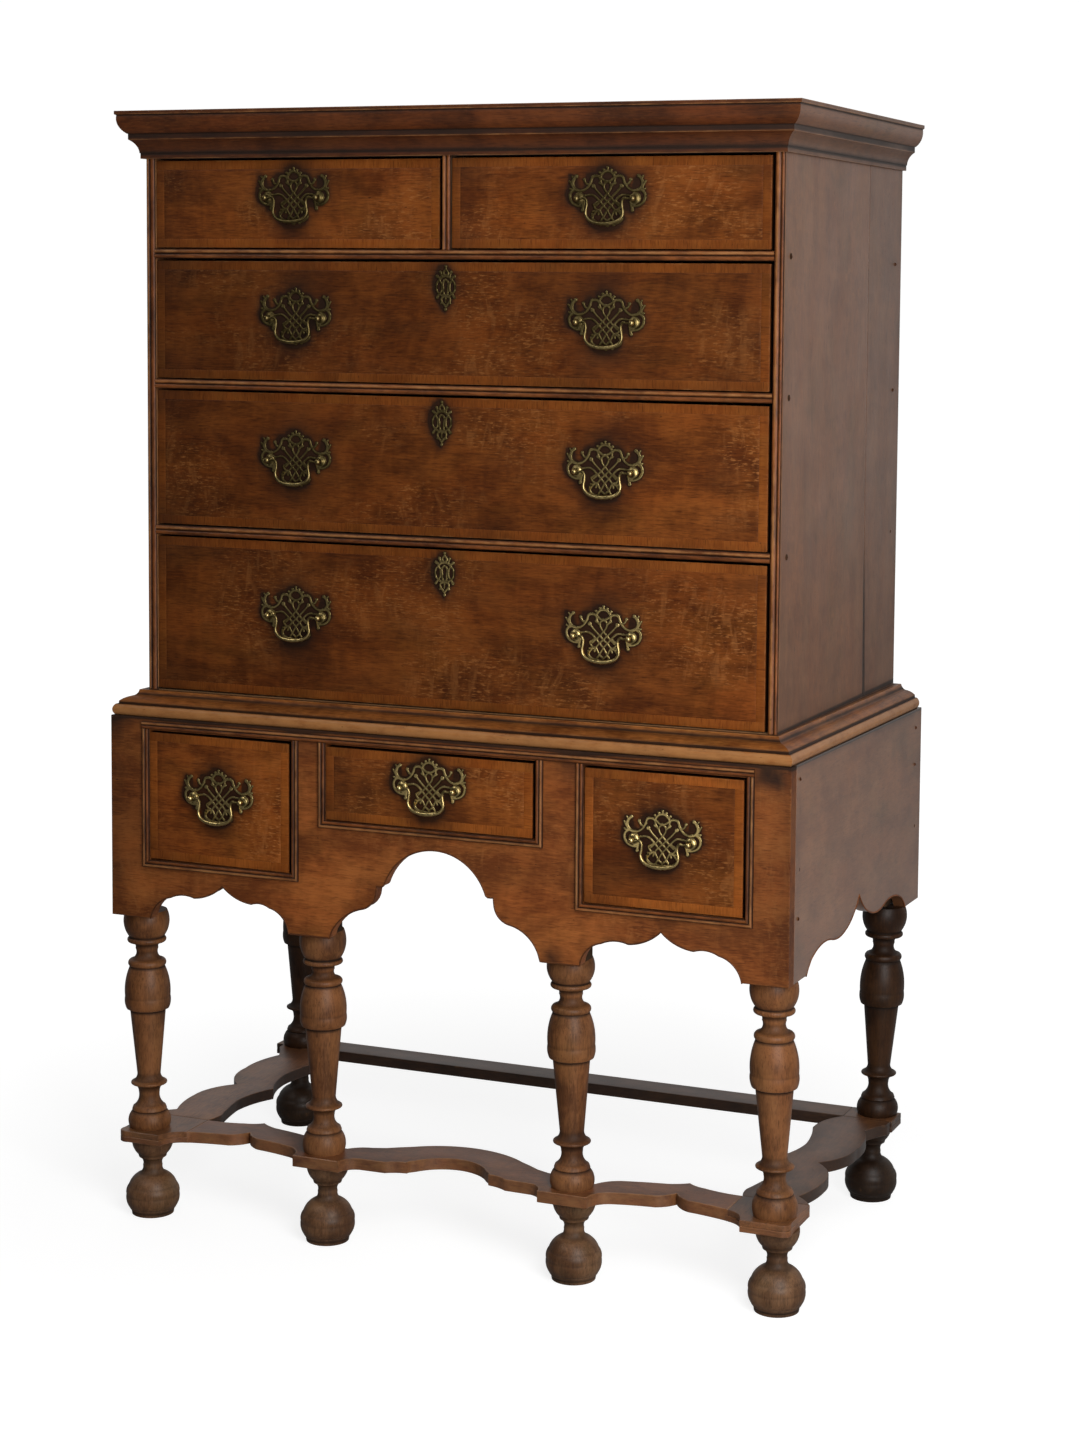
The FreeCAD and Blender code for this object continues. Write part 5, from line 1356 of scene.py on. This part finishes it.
def mount_templates():
    """The plate, post, nut, escutcheon and lock that every drawer's brass is set out from."""
    thick = size("plate_thick")
    plate = pierced_plate(strokes(*PLATE_STROKES), (-56, -38), (56, 43), thick)
    post = Work()
    turning(post, np.array([(0.4, 15.2), (1.9, 14.8), (3.2, 13.7), (3.9, 12.4), (4.0, 11), (3.7, 9.4),
                            (3.0, 7.9), (2.6, 6.6), (2.9, 5.2), (3.6, 4.2), (5.6, 3.7), (6.6, 2.9),
                            (6.7, thick)]), 0, 0, wear=0.5, full=1.5)
    nut = Work()
    reach = 20  # a drawer front's thickness
    plank(nut, (-5, reach, -5), (5, reach + 4, 5), "x", cell=5, edge=0.7, wear=0.4)
    turning(nut, np.array([(2.0, 3.0), (2.0, 1.0), (1.6, 0.0)]), 0, 0)
    nut.points[-1][:] = np.column_stack([nut.points[-1][:, 0], reach + 7 - nut.points[-1][:, 2],
                                         nut.points[-1][:, 1]])
    lock = Work()
    plank(lock, (-32, reach, -22), (32, reach + 9, 22), "x", cell=16, edge=0.8, wear=0.3)
    for u in (-26, 26):
        for v in (-16, 16):
            plank(lock, (u - 2, reach + 9, v - 2), (u + 2, reach + 10, v + 2), "x", cell=2, edge=0.5)
    made = {"plate": plate, "post": facing_front(post), "nut": nut, "lock": lock,
            "escutcheon": pierced_plate(strokes(*ESCUTCHEON_STROKES), (-18, -33), (18, 32), thick)}
    return {name: work.build(f"template_{name}", [material("old_brass")], 45)
            for name, work in made.items()}


# ---------------------------------------------------------------- repeated pieces
def tree_with(name, sockets):
    """A geometry tree with its named inputs, and its two end nodes."""
    tree = bpy.data.node_groups.new(name, "GeometryNodeTree")
    tree.interface.new_socket("Geometry", in_out="INPUT", socket_type="NodeSocketGeometry")
    for label, kind in sockets:
        tree.interface.new_socket(label, in_out="INPUT", socket_type="NodeSocket" + kind)
    tree.interface.new_socket("Geometry", in_out="OUTPUT", socket_type="NodeSocketGeometry")
    return tree, tree.nodes.new("NodeGroupInput").outputs, tree.nodes.new("NodeGroupOutput").inputs


def solid(tree, geometry, given, result):
    """Real faces with their material, as the last two steps of a tree."""
    real = add_node(tree, "GeometryNodeRealizeInstances", {0: geometry}).outputs[0]
    done = add_node(tree, "GeometryNodeSetMaterial", {"Geometry": real, "Material": given["Material"]})
    tree.links.new(done.outputs[0], result["Geometry"])


def mounts_tree():
    """Sets a plate, two posts and two nuts at each handle's place, and an escutcheon and a lock
    at each keyhole's."""
    tree, given, result = tree_with("Brass mounts", [
        ("Plate", "Object"), ("Post", "Object"), ("Nut", "Object"), ("Escutcheon", "Object"),
        ("Lock", "Object"), ("Half Spacing", "Float"), ("Material", "Material")])
    kind = add_node(tree, "GeometryNodeInputNamedAttribute", {"Name": "keyhole"}, data_type="BOOLEAN")
    split = add_node(tree, "GeometryNodeSeparateGeometry", {"Geometry": given["Geometry"],
                                                            "Selection": kind.outputs["Attribute"]})
    keyholes, handles = split.outputs[0], split.outputs[1]
    shifts = []
    for sign in (-1, 1):
        reach = maths(tree, "MULTIPLY", given["Half Spacing"], sign)
        shifts.append(add_node(tree, "ShaderNodeCombineXYZ", {0: reach}).outputs[0])
    parts = []
    for label, places, offsets in (("Plate", handles, [None]), ("Post", handles, shifts),
                                   ("Nut", handles, shifts), ("Escutcheon", keyholes, [None]),
                                   ("Lock", keyholes, [None])):
        shape = add_node(tree, "GeometryNodeObjectInfo", {"Object": given[label]}).outputs["Geometry"]
        for offset in offsets:
            spots = places
            if offset is not None:
                spots = add_node(tree, "GeometryNodeSetPosition",
                                 {"Geometry": places, "Offset": offset}).outputs[0]
            parts.append(add_node(tree, "GeometryNodeInstanceOnPoints",
                                  {"Points": spots, "Instance": shape}).outputs[0])
    join = tree.nodes.new("GeometryNodeJoinGeometry")
    for part in parts:
        tree.links.new(part, join.inputs[0])
    solid(tree, join.outputs[0], given, result)
    return tree


def pegs_tree():
    """A slightly proud, faceted peg at each point, its end turned along X."""
    tree, given, result = tree_with("Peg ends", [("Radius", "Float"), ("Proud", "Float"), ("Sides", "Int"),
                                                 ("Material", "Material")])
    tip = maths(tree, "MULTIPLY", given["Radius"], 0.82)
    peg = add_node(tree, "GeometryNodeMeshCone", {"Vertices": given["Sides"], "Radius Top": tip,
                                                  "Radius Bottom": given["Radius"],
                                                  "Depth": given["Proud"]})
    turn = add_node(tree, "FunctionNodeRandomValue", {0: (0.0, 0.0, 0.0), 1: (0.12, 0.12, 6.28), "Seed": 4},
                    data_type="FLOAT_VECTOR").outputs[0]
    upright = add_node(tree, "GeometryNodeInstanceOnPoints", {"Points": given["Geometry"],
                                                              "Instance": peg.outputs[0], "Rotation": turn})
    side = add_node(tree, "GeometryNodeInputNamedAttribute", {"Name": "facing"}, data_type="FLOAT_VECTOR")
    laid = add_node(tree, "GeometryNodeRotateInstances", {"Instances": upright.outputs[0],
                                                          "Rotation": side.outputs["Attribute"]})
    solid(tree, laid.outputs[0], given, result)
    return tree


def strip_tree():
    """A rounded strip swept along a path."""
    tree, given, result = tree_with("Swept strip", [("Thickness", "Float"), ("Material", "Material")])
    path = add_node(tree, "GeometryNodeMeshToCurve", {"Mesh": given["Geometry"]}).outputs[0]
    round_rod = add_node(tree, "GeometryNodeCurvePrimitiveCircle", {"Resolution": 8, "Radius": maths(
        tree, "MULTIPLY", given["Thickness"], 0.5)}, mode="RADIUS").outputs[0]
    swept = add_node(tree, "GeometryNodeCurveToMesh", {"Curve": path, "Profile Curve": round_rod,
                                                       "Fill Caps": True}).outputs[0]
    solid(tree, swept, given, result)
    return tree


def run_tree(name, tree, mesh, inputs):
    """A tree's result over a mesh of places, as a plain mesh object."""
    holder = bpy.data.objects.new(name + "_places", mesh)
    bpy.context.scene.collection.objects.link(holder)
    modifier = holder.modifiers.new(tree.name, "NODES")
    modifier.node_group = tree
    sockets = {item.name: item.identifier for item in tree.interface.items_tree if item.in_out == "INPUT"}
    for label, value in inputs.items():
        modifier[sockets[label]] = value
    graph = bpy.context.evaluated_depsgraph_get()
    made = bpy.data.meshes.new_from_object(holder.evaluated_get(graph), preserve_all_data_layers=True,
                                           depsgraph=graph)
    holder.modifiers.remove(modifier)
    bpy.data.objects.remove(holder)
    thing = bpy.data.objects.new(name, made)
    made.name = name
    bpy.context.scene.collection.objects.link(thing)
    return thing


def places_mesh(name, spots, edges=(), **values):
    """A mesh of bare points in millimetres, with named values."""
    mesh = bpy.data.meshes.new(name)
    mesh.from_pydata([tuple(np.array(spot) / 1000) for spot in spots], list(edges), [])
    for key, (kind, data) in values.items():
        layer = mesh.attributes.new(key, kind, "POINT")
        layer.data.foreach_set("vector" if kind == "FLOAT_VECTOR" else "value", np.ravel(data).tolist())
    return mesh


def dress_brass():
    """Pierced plates, posts, escutcheons and locks of every drawer, and their bails."""
    templates = mount_templates()
    tree = mounts_tree()
    bpy.context.view_layer.update()
    for name, (handles, lock) in DRAWERS.items():
        low, high = box(f"drawer_{name}_front")
        x, z = (low[0] + high[0]) / 2, (low[2] + high[2]) / 2
        spots = [(x + across, low[1], z + up) for across, up in handles]
        keyholes = [False] * len(spots)
        if lock is not None:
            spots.append((x + lock[0], low[1], z + lock[1]))
            keyholes.append(True)
        mesh = places_mesh(f"mounts_{name}", spots, keyhole=("BOOLEAN", keyholes))
        inputs = {label.title(): template for label, template in templates.items()}
        inputs.update({"Half Spacing": size("handle_half") / 1000, "Material": material("old_brass")})
        settle(run_tree(f"brass_{name}", tree, mesh, inputs), f"drawer_{name}", [f"drawer_{name}_brass"])
        for index, (across, up) in enumerate(handles):
            suffix = "" if len(handles) == 1 else ("_left", "_right")[index]
            dress_bail(name + suffix, x + across, low[1] - size("post_reach"), z + up)
    for template in templates.values():
        bpy.data.objects.remove(template)


# right half of a bail from its post down: (across, up, thickness)
BAIL = [(37.5, 0, 1.7), (31, 0, 1.9), (28.4, 0.7, 2.5), (25.6, -1.2, 2.3), (24.3, -5, 2.0),
        (24.7, -11, 2.1), (25.9, -17, 2.3), (25.2, -22, 2.5), (22, -26.6, 2.7), (17, -29.6, 2.9),
        (11, -31.2, 3.1), (7.5, -31.8, 3.5), (4.5, -32.2, 3.3), (0, -32.4, 3.6)]


def dress_bail(name, x, y, z):
    """A swan-necked bail, thick at its moulded middle."""
    half = smooth(np.array(BAIL) * (1, 1, 0.82), 5)  # the last column becomes the half width
    path = np.vstack([half, half[::-1][1:] * (-1, 1, 1)])
    count, sides = len(path), 14
    tangent = np.gradient(path[:, :2], axis=0)
    tangent /= np.linalg.norm(tangent, axis=1, keepdims=True)
    across = np.column_stack([tangent[:, 1], -tangent[:, 0]])
    angles = np.arange(sides) * 2 * math.pi / sides
    points = np.empty((count, sides, 3))
    points[..., 0] = x + path[:, :1] + across[:, :1] * np.cos(angles) * path[:, 2:]
    points[..., 2] = z + path[:, 1:2] + across[:, 1:] * np.cos(angles) * path[:, 2:]
    points[..., 1] = y + np.sin(angles) * path[:, 2:]
    faces = [[i * sides + j, i * sides + (j + 1) % sides, (i + 1) * sides + (j + 1) % sides,
              (i + 1) * sides + j] for i in range(count - 1) for j in range(sides)]
    faces += [list(range(sides))[::-1], [(count - 1) * sides + j for j in range(sides)]]
    work = Work()
    points = points.reshape(-1, 3)
    back = np.repeat(np.clip((path[:, 1] + 8) / 20, 0, 1), sides)
    work.add(points, faces, grained(points, "x"), 0.35 - 0.35 * back, 0.1 + 0.5 * back)
    deliver(work, f"handle_{name}", "bail_brass", [f"bail_{name}"], f"pull_{name}", 50)


def dress_pegs():
    """Peg ends in both sides of the case and the stand, and in the case's back."""
    case, stand = box("case_side_right")[1][0], box("stand_side_right")[1][0]
    spots, turns = [], []
    for sign in (-1, 1):
        spots += [(sign * case, y, z) for z in rails(GAP + RAIL / 2) for y in (-211, 262)]
        spots += [(sign * stand, y, z) for y, z in ((-245, 700), (275, 693), (-243, 583), (277, 549),
                                                    (-246, 520), (272, 640))]
        turns += [(0, sign * math.pi / 2, 0)] * (len(spots) - len(turns))
    low, high = box("case_back")
    for x in np.linspace(low[0], high[0], 9)[:-1] + (high[0] - low[0]) / 16:
        spots += [(x, high[1], z) for z in (low[2] + 18, (low[2] + high[2]) / 2, high[2] - 18)]
    turns += [(-math.pi / 2, 0, 0)] * (len(spots) - len(turns))
    mesh = places_mesh("peg_places", racked(np.array(spots)), facing=("FLOAT_VECTOR", turns))
    pegs = run_tree("peg_ends", pegs_tree(), mesh, {"Radius": 0.0026, "Proud": 0.0008, "Sides": 9,
                                                    "Material": material("peg_oak")})
    settle(pegs, "carcase", [])


def dress_cock_beads():
    """The thin strips along the shaped edges of the stand's front and sides."""
    face, stand = box("stand_front")[0][1], box("stand_side_right")[1][0]
    front = np.vstack([bent(apron_edge(*LEFT_FEET), 4)[::-1] * (-1, 1), bent(apron_edge(), 4)[1:]])
    side = bent(side_edge(), 4)
    parts = [np.column_stack([front[:, 0], np.full(len(front), face + 0.4), front[:, 1] - 0.5])]
    for sign in (-1, 1):
        out = np.full(len(side), sign * (stand - 0.4))
        parts.append(np.column_stack([out, side[:, 0], side[:, 1] - 0.5]))
    edges, first = [], 0
    for part in parts:
        edges += [(first + i, first + i + 1) for i in range(len(part) - 1)]
        first += len(part)
    mesh = places_mesh("bead_path", racked(np.concatenate(parts)), edges)
    beads = run_tree("cock_beads", strip_tree(), mesh, {"Thickness": size("cock_bead") / 1000,
                                                        "Material": material("strip_oak")})
    settle(beads, "carcase", [])


def dress_trim():
    """Peg ends in the sides and the back, and the cock beads along the shaped edges."""
    dress_pegs()
    dress_cock_beads()


def dress_frame():
    """Finish for the framing that is kept as it is, and the stand's blocks, partitions and runners."""
    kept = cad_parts["case_drawer_frames"].data
    kept.materials.clear()
    kept.materials.append(material("frame_oak"))
    low, high = box("stand_framing")
    foot, head, front, back = low[2], high[2], low[1], high[1]
    fore, aft, floor = -233, 207, 500  # ends of the front and the back blocks, and the runners' foot
    parts = [((461, 482), (front, fore), (foot, head), "z"),  # blocks behind the front's outer legs
             ((161, 210), (front, fore), (foot, head), "z"),  # and behind its inner ones
             ((440, 482), (aft, back), (foot, head), "z"),  # blocks before the back legs
             ((177, 194), (fore, back), (floor, head), "y"),  # partitions between the drawers
             ((194.1, 232), (fore, back), (floor, 520), "y"),  # the outer drawers' runners
             ((420, 482), (fore, aft - 0.1), (floor, 520), "y"),
             ((135, 176.9), (fore, back), (578, 598), "y")]  # the middle drawer's runners
    work = Work()
    for sign in (-1, 1):
        for across, deep, tall, along in parts:
            ends = sorted(sign * x for x in across)
            plank(work, (ends[0], deep[0], tall[0]), (ends[1], deep[1], tall[1]), along, dirt=0.5)
    work.marks = [marks + (0, 0.5, -1.5) for marks in work.marks]  # darker: a higher grime value and a lower tone
    deliver(work, "stand_blocks", "inside_oak", ["stand_framing"])


# ---------------------------------------------------------------- stage
def set_camera():
    """Three-quarter view from the right, a little above the middle."""
    yaw, pitch, roll = (math.radians(a) for a in (21.908, 4.873, 0.5354))
    ahead = Vector((-math.sin(yaw) * math.cos(pitch), math.cos(yaw) * math.cos(pitch), -math.sin(pitch)))
    right = Vector((math.cos(yaw), math.sin(yaw), 0))
    up = right.cross(ahead)
    across = right * math.cos(roll) + up * math.sin(roll)
    upward = up * math.cos(roll) - right * math.sin(roll)
    data = bpy.data.cameras.new("camera")
    data.lens, data.sensor_width = 67.33, 36.0
    data.shift_x, data.shift_y = -0.0527, -0.138
    data.clip_start, data.clip_end = 0.1, 50
    camera = bpy.data.objects.new("camera", data)
    bpy.context.scene.collection.objects.link(camera)
    turn = Matrix((across, upward, -ahead)).transposed()
    camera.matrix_world = Matrix.Translation((1.53311, -3.45647, 1.31368)) @ turn.to_4x4()
    bpy.context.scene.camera = camera


def soft_light(name, place, target, width, height, power):
    """A panel of white light turned to a target; sizes in metres, power in watts."""
    data = bpy.data.lights.new(name, "AREA")
    data.shape, data.size, data.size_y, data.energy = "RECTANGLE", width, height, power
    lamp = bpy.data.objects.new(name, data)
    lamp.location = place
    lamp.visible_camera = False
    lamp.rotation_mode = "QUATERNION"
    lamp.rotation_quaternion = (Vector(target) - Vector(place)).to_track_quat("-Z", "Y")
    bpy.context.scene.collection.objects.link(lamp)
    return lamp


def set_world():
    """White backdrop, pale behind the piece and dimmer round the camera."""
    world = bpy.data.worlds.new("studio")
    world.use_nodes = True
    tree = world.node_tree
    tree.nodes.clear()
    way = add_node(tree, "ShaderNodeTexCoord").outputs["Generated"]
    depth = add_node(tree, "ShaderNodeSeparateXYZ", {0: way}).outputs[1]
    level = add_node(tree, "ShaderNodeMapRange", {0: depth, 1: -0.5, 2: 0.9, 3: 0.07, 4: 0.5},
                     interpolation_type="SMOOTHSTEP").outputs[0]
    seen = add_node(tree, "ShaderNodeLightPath").outputs["Is Camera Ray"]
    strength = add_node(tree, "ShaderNodeMix", {0: seen, 2: level, 3: 1.02}, data_type="FLOAT").outputs[0]
    glow = add_node(tree, "ShaderNodeBackground", {0: (1, 1, 1, 1), 1: strength}).outputs[0]
    out = tree.nodes.new("ShaderNodeOutputWorld")
    tree.links.new(glow, out.inputs[0])
    bpy.context.scene.world = world


def set_floor():
    """A white floor with a soft shade round the piece; what it throws back is set apart from what
    the camera sees."""
    half = 9
    mesh = bpy.data.meshes.new("floor")
    mesh.from_pydata([(x * half, y * half, 0) for x, y in ((-1, -1), (1, -1), (1, 1), (-1, 1))], [],
                     [(0, 1, 2, 3)])
    tree, shader = new_material("pale_floor")
    tree.nodes.remove(shader)
    place = add_node(tree, "ShaderNodeTexCoord").outputs["Object"]
    away = add_node(tree, "ShaderNodeVectorMath", {0: place}, operation="LENGTH").outputs["Value"]
    axes = add_node(tree, "ShaderNodeSeparateXYZ", {0: place})
    depth = axes.outputs[1]
    # painted shade: the glow that the camera sees is dimmer near the piece
    level = add_node(tree, "ShaderNodeMapRange", {0: away, 1: 0.7, 2: 1.7, 3: 0.82, 4: 1.0}).outputs[0]
    return_light = add_node(tree, "ShaderNodeMapRange",
                            {0: depth, 1: -1.0, 2: 1.0, 3: 0.22, 4: 0.75}).outputs[0]
    # painted light: the floor glows in front of the piece for what it throws back, as a fill light
    slant = maths(tree, "SUBTRACT", axes.outputs[0], maths(tree, "MULTIPLY", depth, 0.3))
    lit = maths(tree, "MULTIPLY", ramp(tree, slant, -0.95, 0.1), ramp(tree, depth, -1.5, -2.0))
    lit = maths(tree, "MULTIPLY", lit, 0.6)
    matt = add_node(tree, "ShaderNodeBsdfDiffuse", {0: (0.36, 0.36, 0.36, 1)}).outputs[0]
    glow = add_node(tree, "ShaderNodeEmission", {0: (1, 1, 1, 1), 1: level}).outputs[0]
    seen = add_node(tree, "ShaderNodeLightPath").outputs["Is Camera Ray"]
    both = add_node(tree, "ShaderNodeAddShader", {0: matt, 1: glow}).outputs[0]
    dim = add_node(tree, "ShaderNodeBsdfDiffuse", {0: return_light}).outputs[0]
    front = add_node(tree, "ShaderNodeEmission", {0: (1.0, 0.97, 0.9, 1), 1: lit}).outputs[0]
    dim = add_node(tree, "ShaderNodeAddShader", {0: dim, 1: front}).outputs[0]
    pick = add_node(tree, "ShaderNodeMixShader", {0: seen, 1: dim, 2: both}).outputs[0]
    tree.links.new(pick, tree.nodes["Material Output"].inputs[0])
    mesh.materials.append(material("pale_floor"))
    floor = bpy.data.objects.new("floor", mesh)
    bpy.context.scene.collection.objects.link(floor)


def set_stage():
    """Camera, backdrop, floor and lights: a broad key, a weak one from above, and one for glints."""
    bpy.context.scene.view_settings.view_transform = "Standard"
    set_camera()
    set_world()
    set_floor()
    soft_light("key_light", (1.65, -1.85, 1.35), (0.1, 0, 0.8), 1.2, 2.0, 58)
    soft_light("high_light", (0.9, -1.5, 3.0), (0, 0, 0.7), 2.2, 1.6, 10)
    soft_light("glint_light", (-1.6, -2.1, 3.2), (0, 0, 1.0), 1.8, 0.8, 20).visible_diffuse = False


# ---------------------------------------------------------------- add-on
def operator(name, label, doc, work):
    """An operator that makes one group of pieces."""
    def execute(self, context):
        """Make the pieces."""
        work()
        return {"FINISHED"}
    return type("HIGHBOY_OT_" + name, (bpy.types.Operator,),
                {"bl_idname": "highboy." + name, "bl_label": label, "__doc__": doc,
                 "bl_options": {"REGISTER"}, "execute": execute})


def dress_drawers():
    """Fronts and boxes of all the drawers."""
    for name in DRAWERS:
        dress_drawer_front(name)
        dress_drawer_box(name)


OPERATORS = [operator(*item) for item in (
    ("materials", "Make Finishes", "Make the oak and brass finishes", make_materials),
    ("case_sides", "Dress Case Sides", "Jointed side boards of the upper case", dress_case_sides),
    ("case_top", "Dress Case Lid", "Boards of the lid", dress_case_top),
    ("case_inside", "Dress Case Back and Bottom", "Planks of the back and the bottom", dress_case_inside),
    ("mouldings", "Dress Mouldings", "Cornice, waist moulding, reeds and beads", dress_mouldings),
    ("stand", "Dress Stand Boards", "Shaped apron, sides, back and top of the stand", dress_stand_boards),
    ("legs", "Turn Legs and Feet", "Six turned legs and their ball feet", dress_legs),
    ("stretchers", "Saw Stretchers", "Shaped flat stretchers", dress_stretchers),
    ("drawers", "Dress Drawers", "Banded fronts and plain boxes of the drawers", dress_drawers),
    ("brass", "Mount Brass", "Pierced plates, posts, escutcheons and bails", dress_brass),
    ("trim", "Add Pegs and Cock Beads", "Peg ends and the beads along shaped edges", dress_trim),
    ("frame_finish", "Finish Frame", "Finish for the kept framing, and the stand's blocks", dress_frame),
    ("stage", "Set Stage", "Pale floor, soft light and the camera", set_stage),
)]


class HIGHBOY_PT_panel(bpy.types.Panel):
    """Lists the sizes, the finishes and the steps of the highboy."""
    bl_idname = "HIGHBOY_PT_panel"
    bl_label = "Oak Highboy"
    bl_space_type = "VIEW_3D"
    bl_region_type = "UI"
    bl_category = "Highboy"

    def draw(self, context):
        """The sizes and colours, and a button for each step."""
        layout = self.layout
        for label, group in (("Sizes", context.scene.highboy_sizes),
                             ("Finish", context.scene.highboy_finish)):
            column = layout.box().column(align=True)
            column.label(text=label)
            for key in group.bl_rna.properties.keys():
                if key not in ("rna_type", "name"):
                    column.prop(group, key)
        for kind in OPERATORS:
            layout.operator(kind.bl_idname)


CLASSES = [HighboySizes, HighboyFinish, *OPERATORS, HIGHBOY_PT_panel]


def register():
    """Add the classes, and the sizes and colours to the scene."""
    for kind in CLASSES:
        bpy.utils.register_class(kind)
    bpy.types.Scene.highboy_sizes = PointerProperty(type=HighboySizes)
    bpy.types.Scene.highboy_finish = PointerProperty(type=HighboyFinish)


def unregister():
    """Take away what register adds."""
    del bpy.types.Scene.highboy_finish
    del bpy.types.Scene.highboy_sizes
    for kind in reversed(CLASSES):
        bpy.utils.unregister_class(kind)


def main():
    """Dress the whole piece and write its size beside the frame's."""
    register()
    for kind in OPERATORS:
        getattr(bpy.ops.highboy, kind.bl_idname.split(".")[1])()


if __name__ == "__main__":
    main()
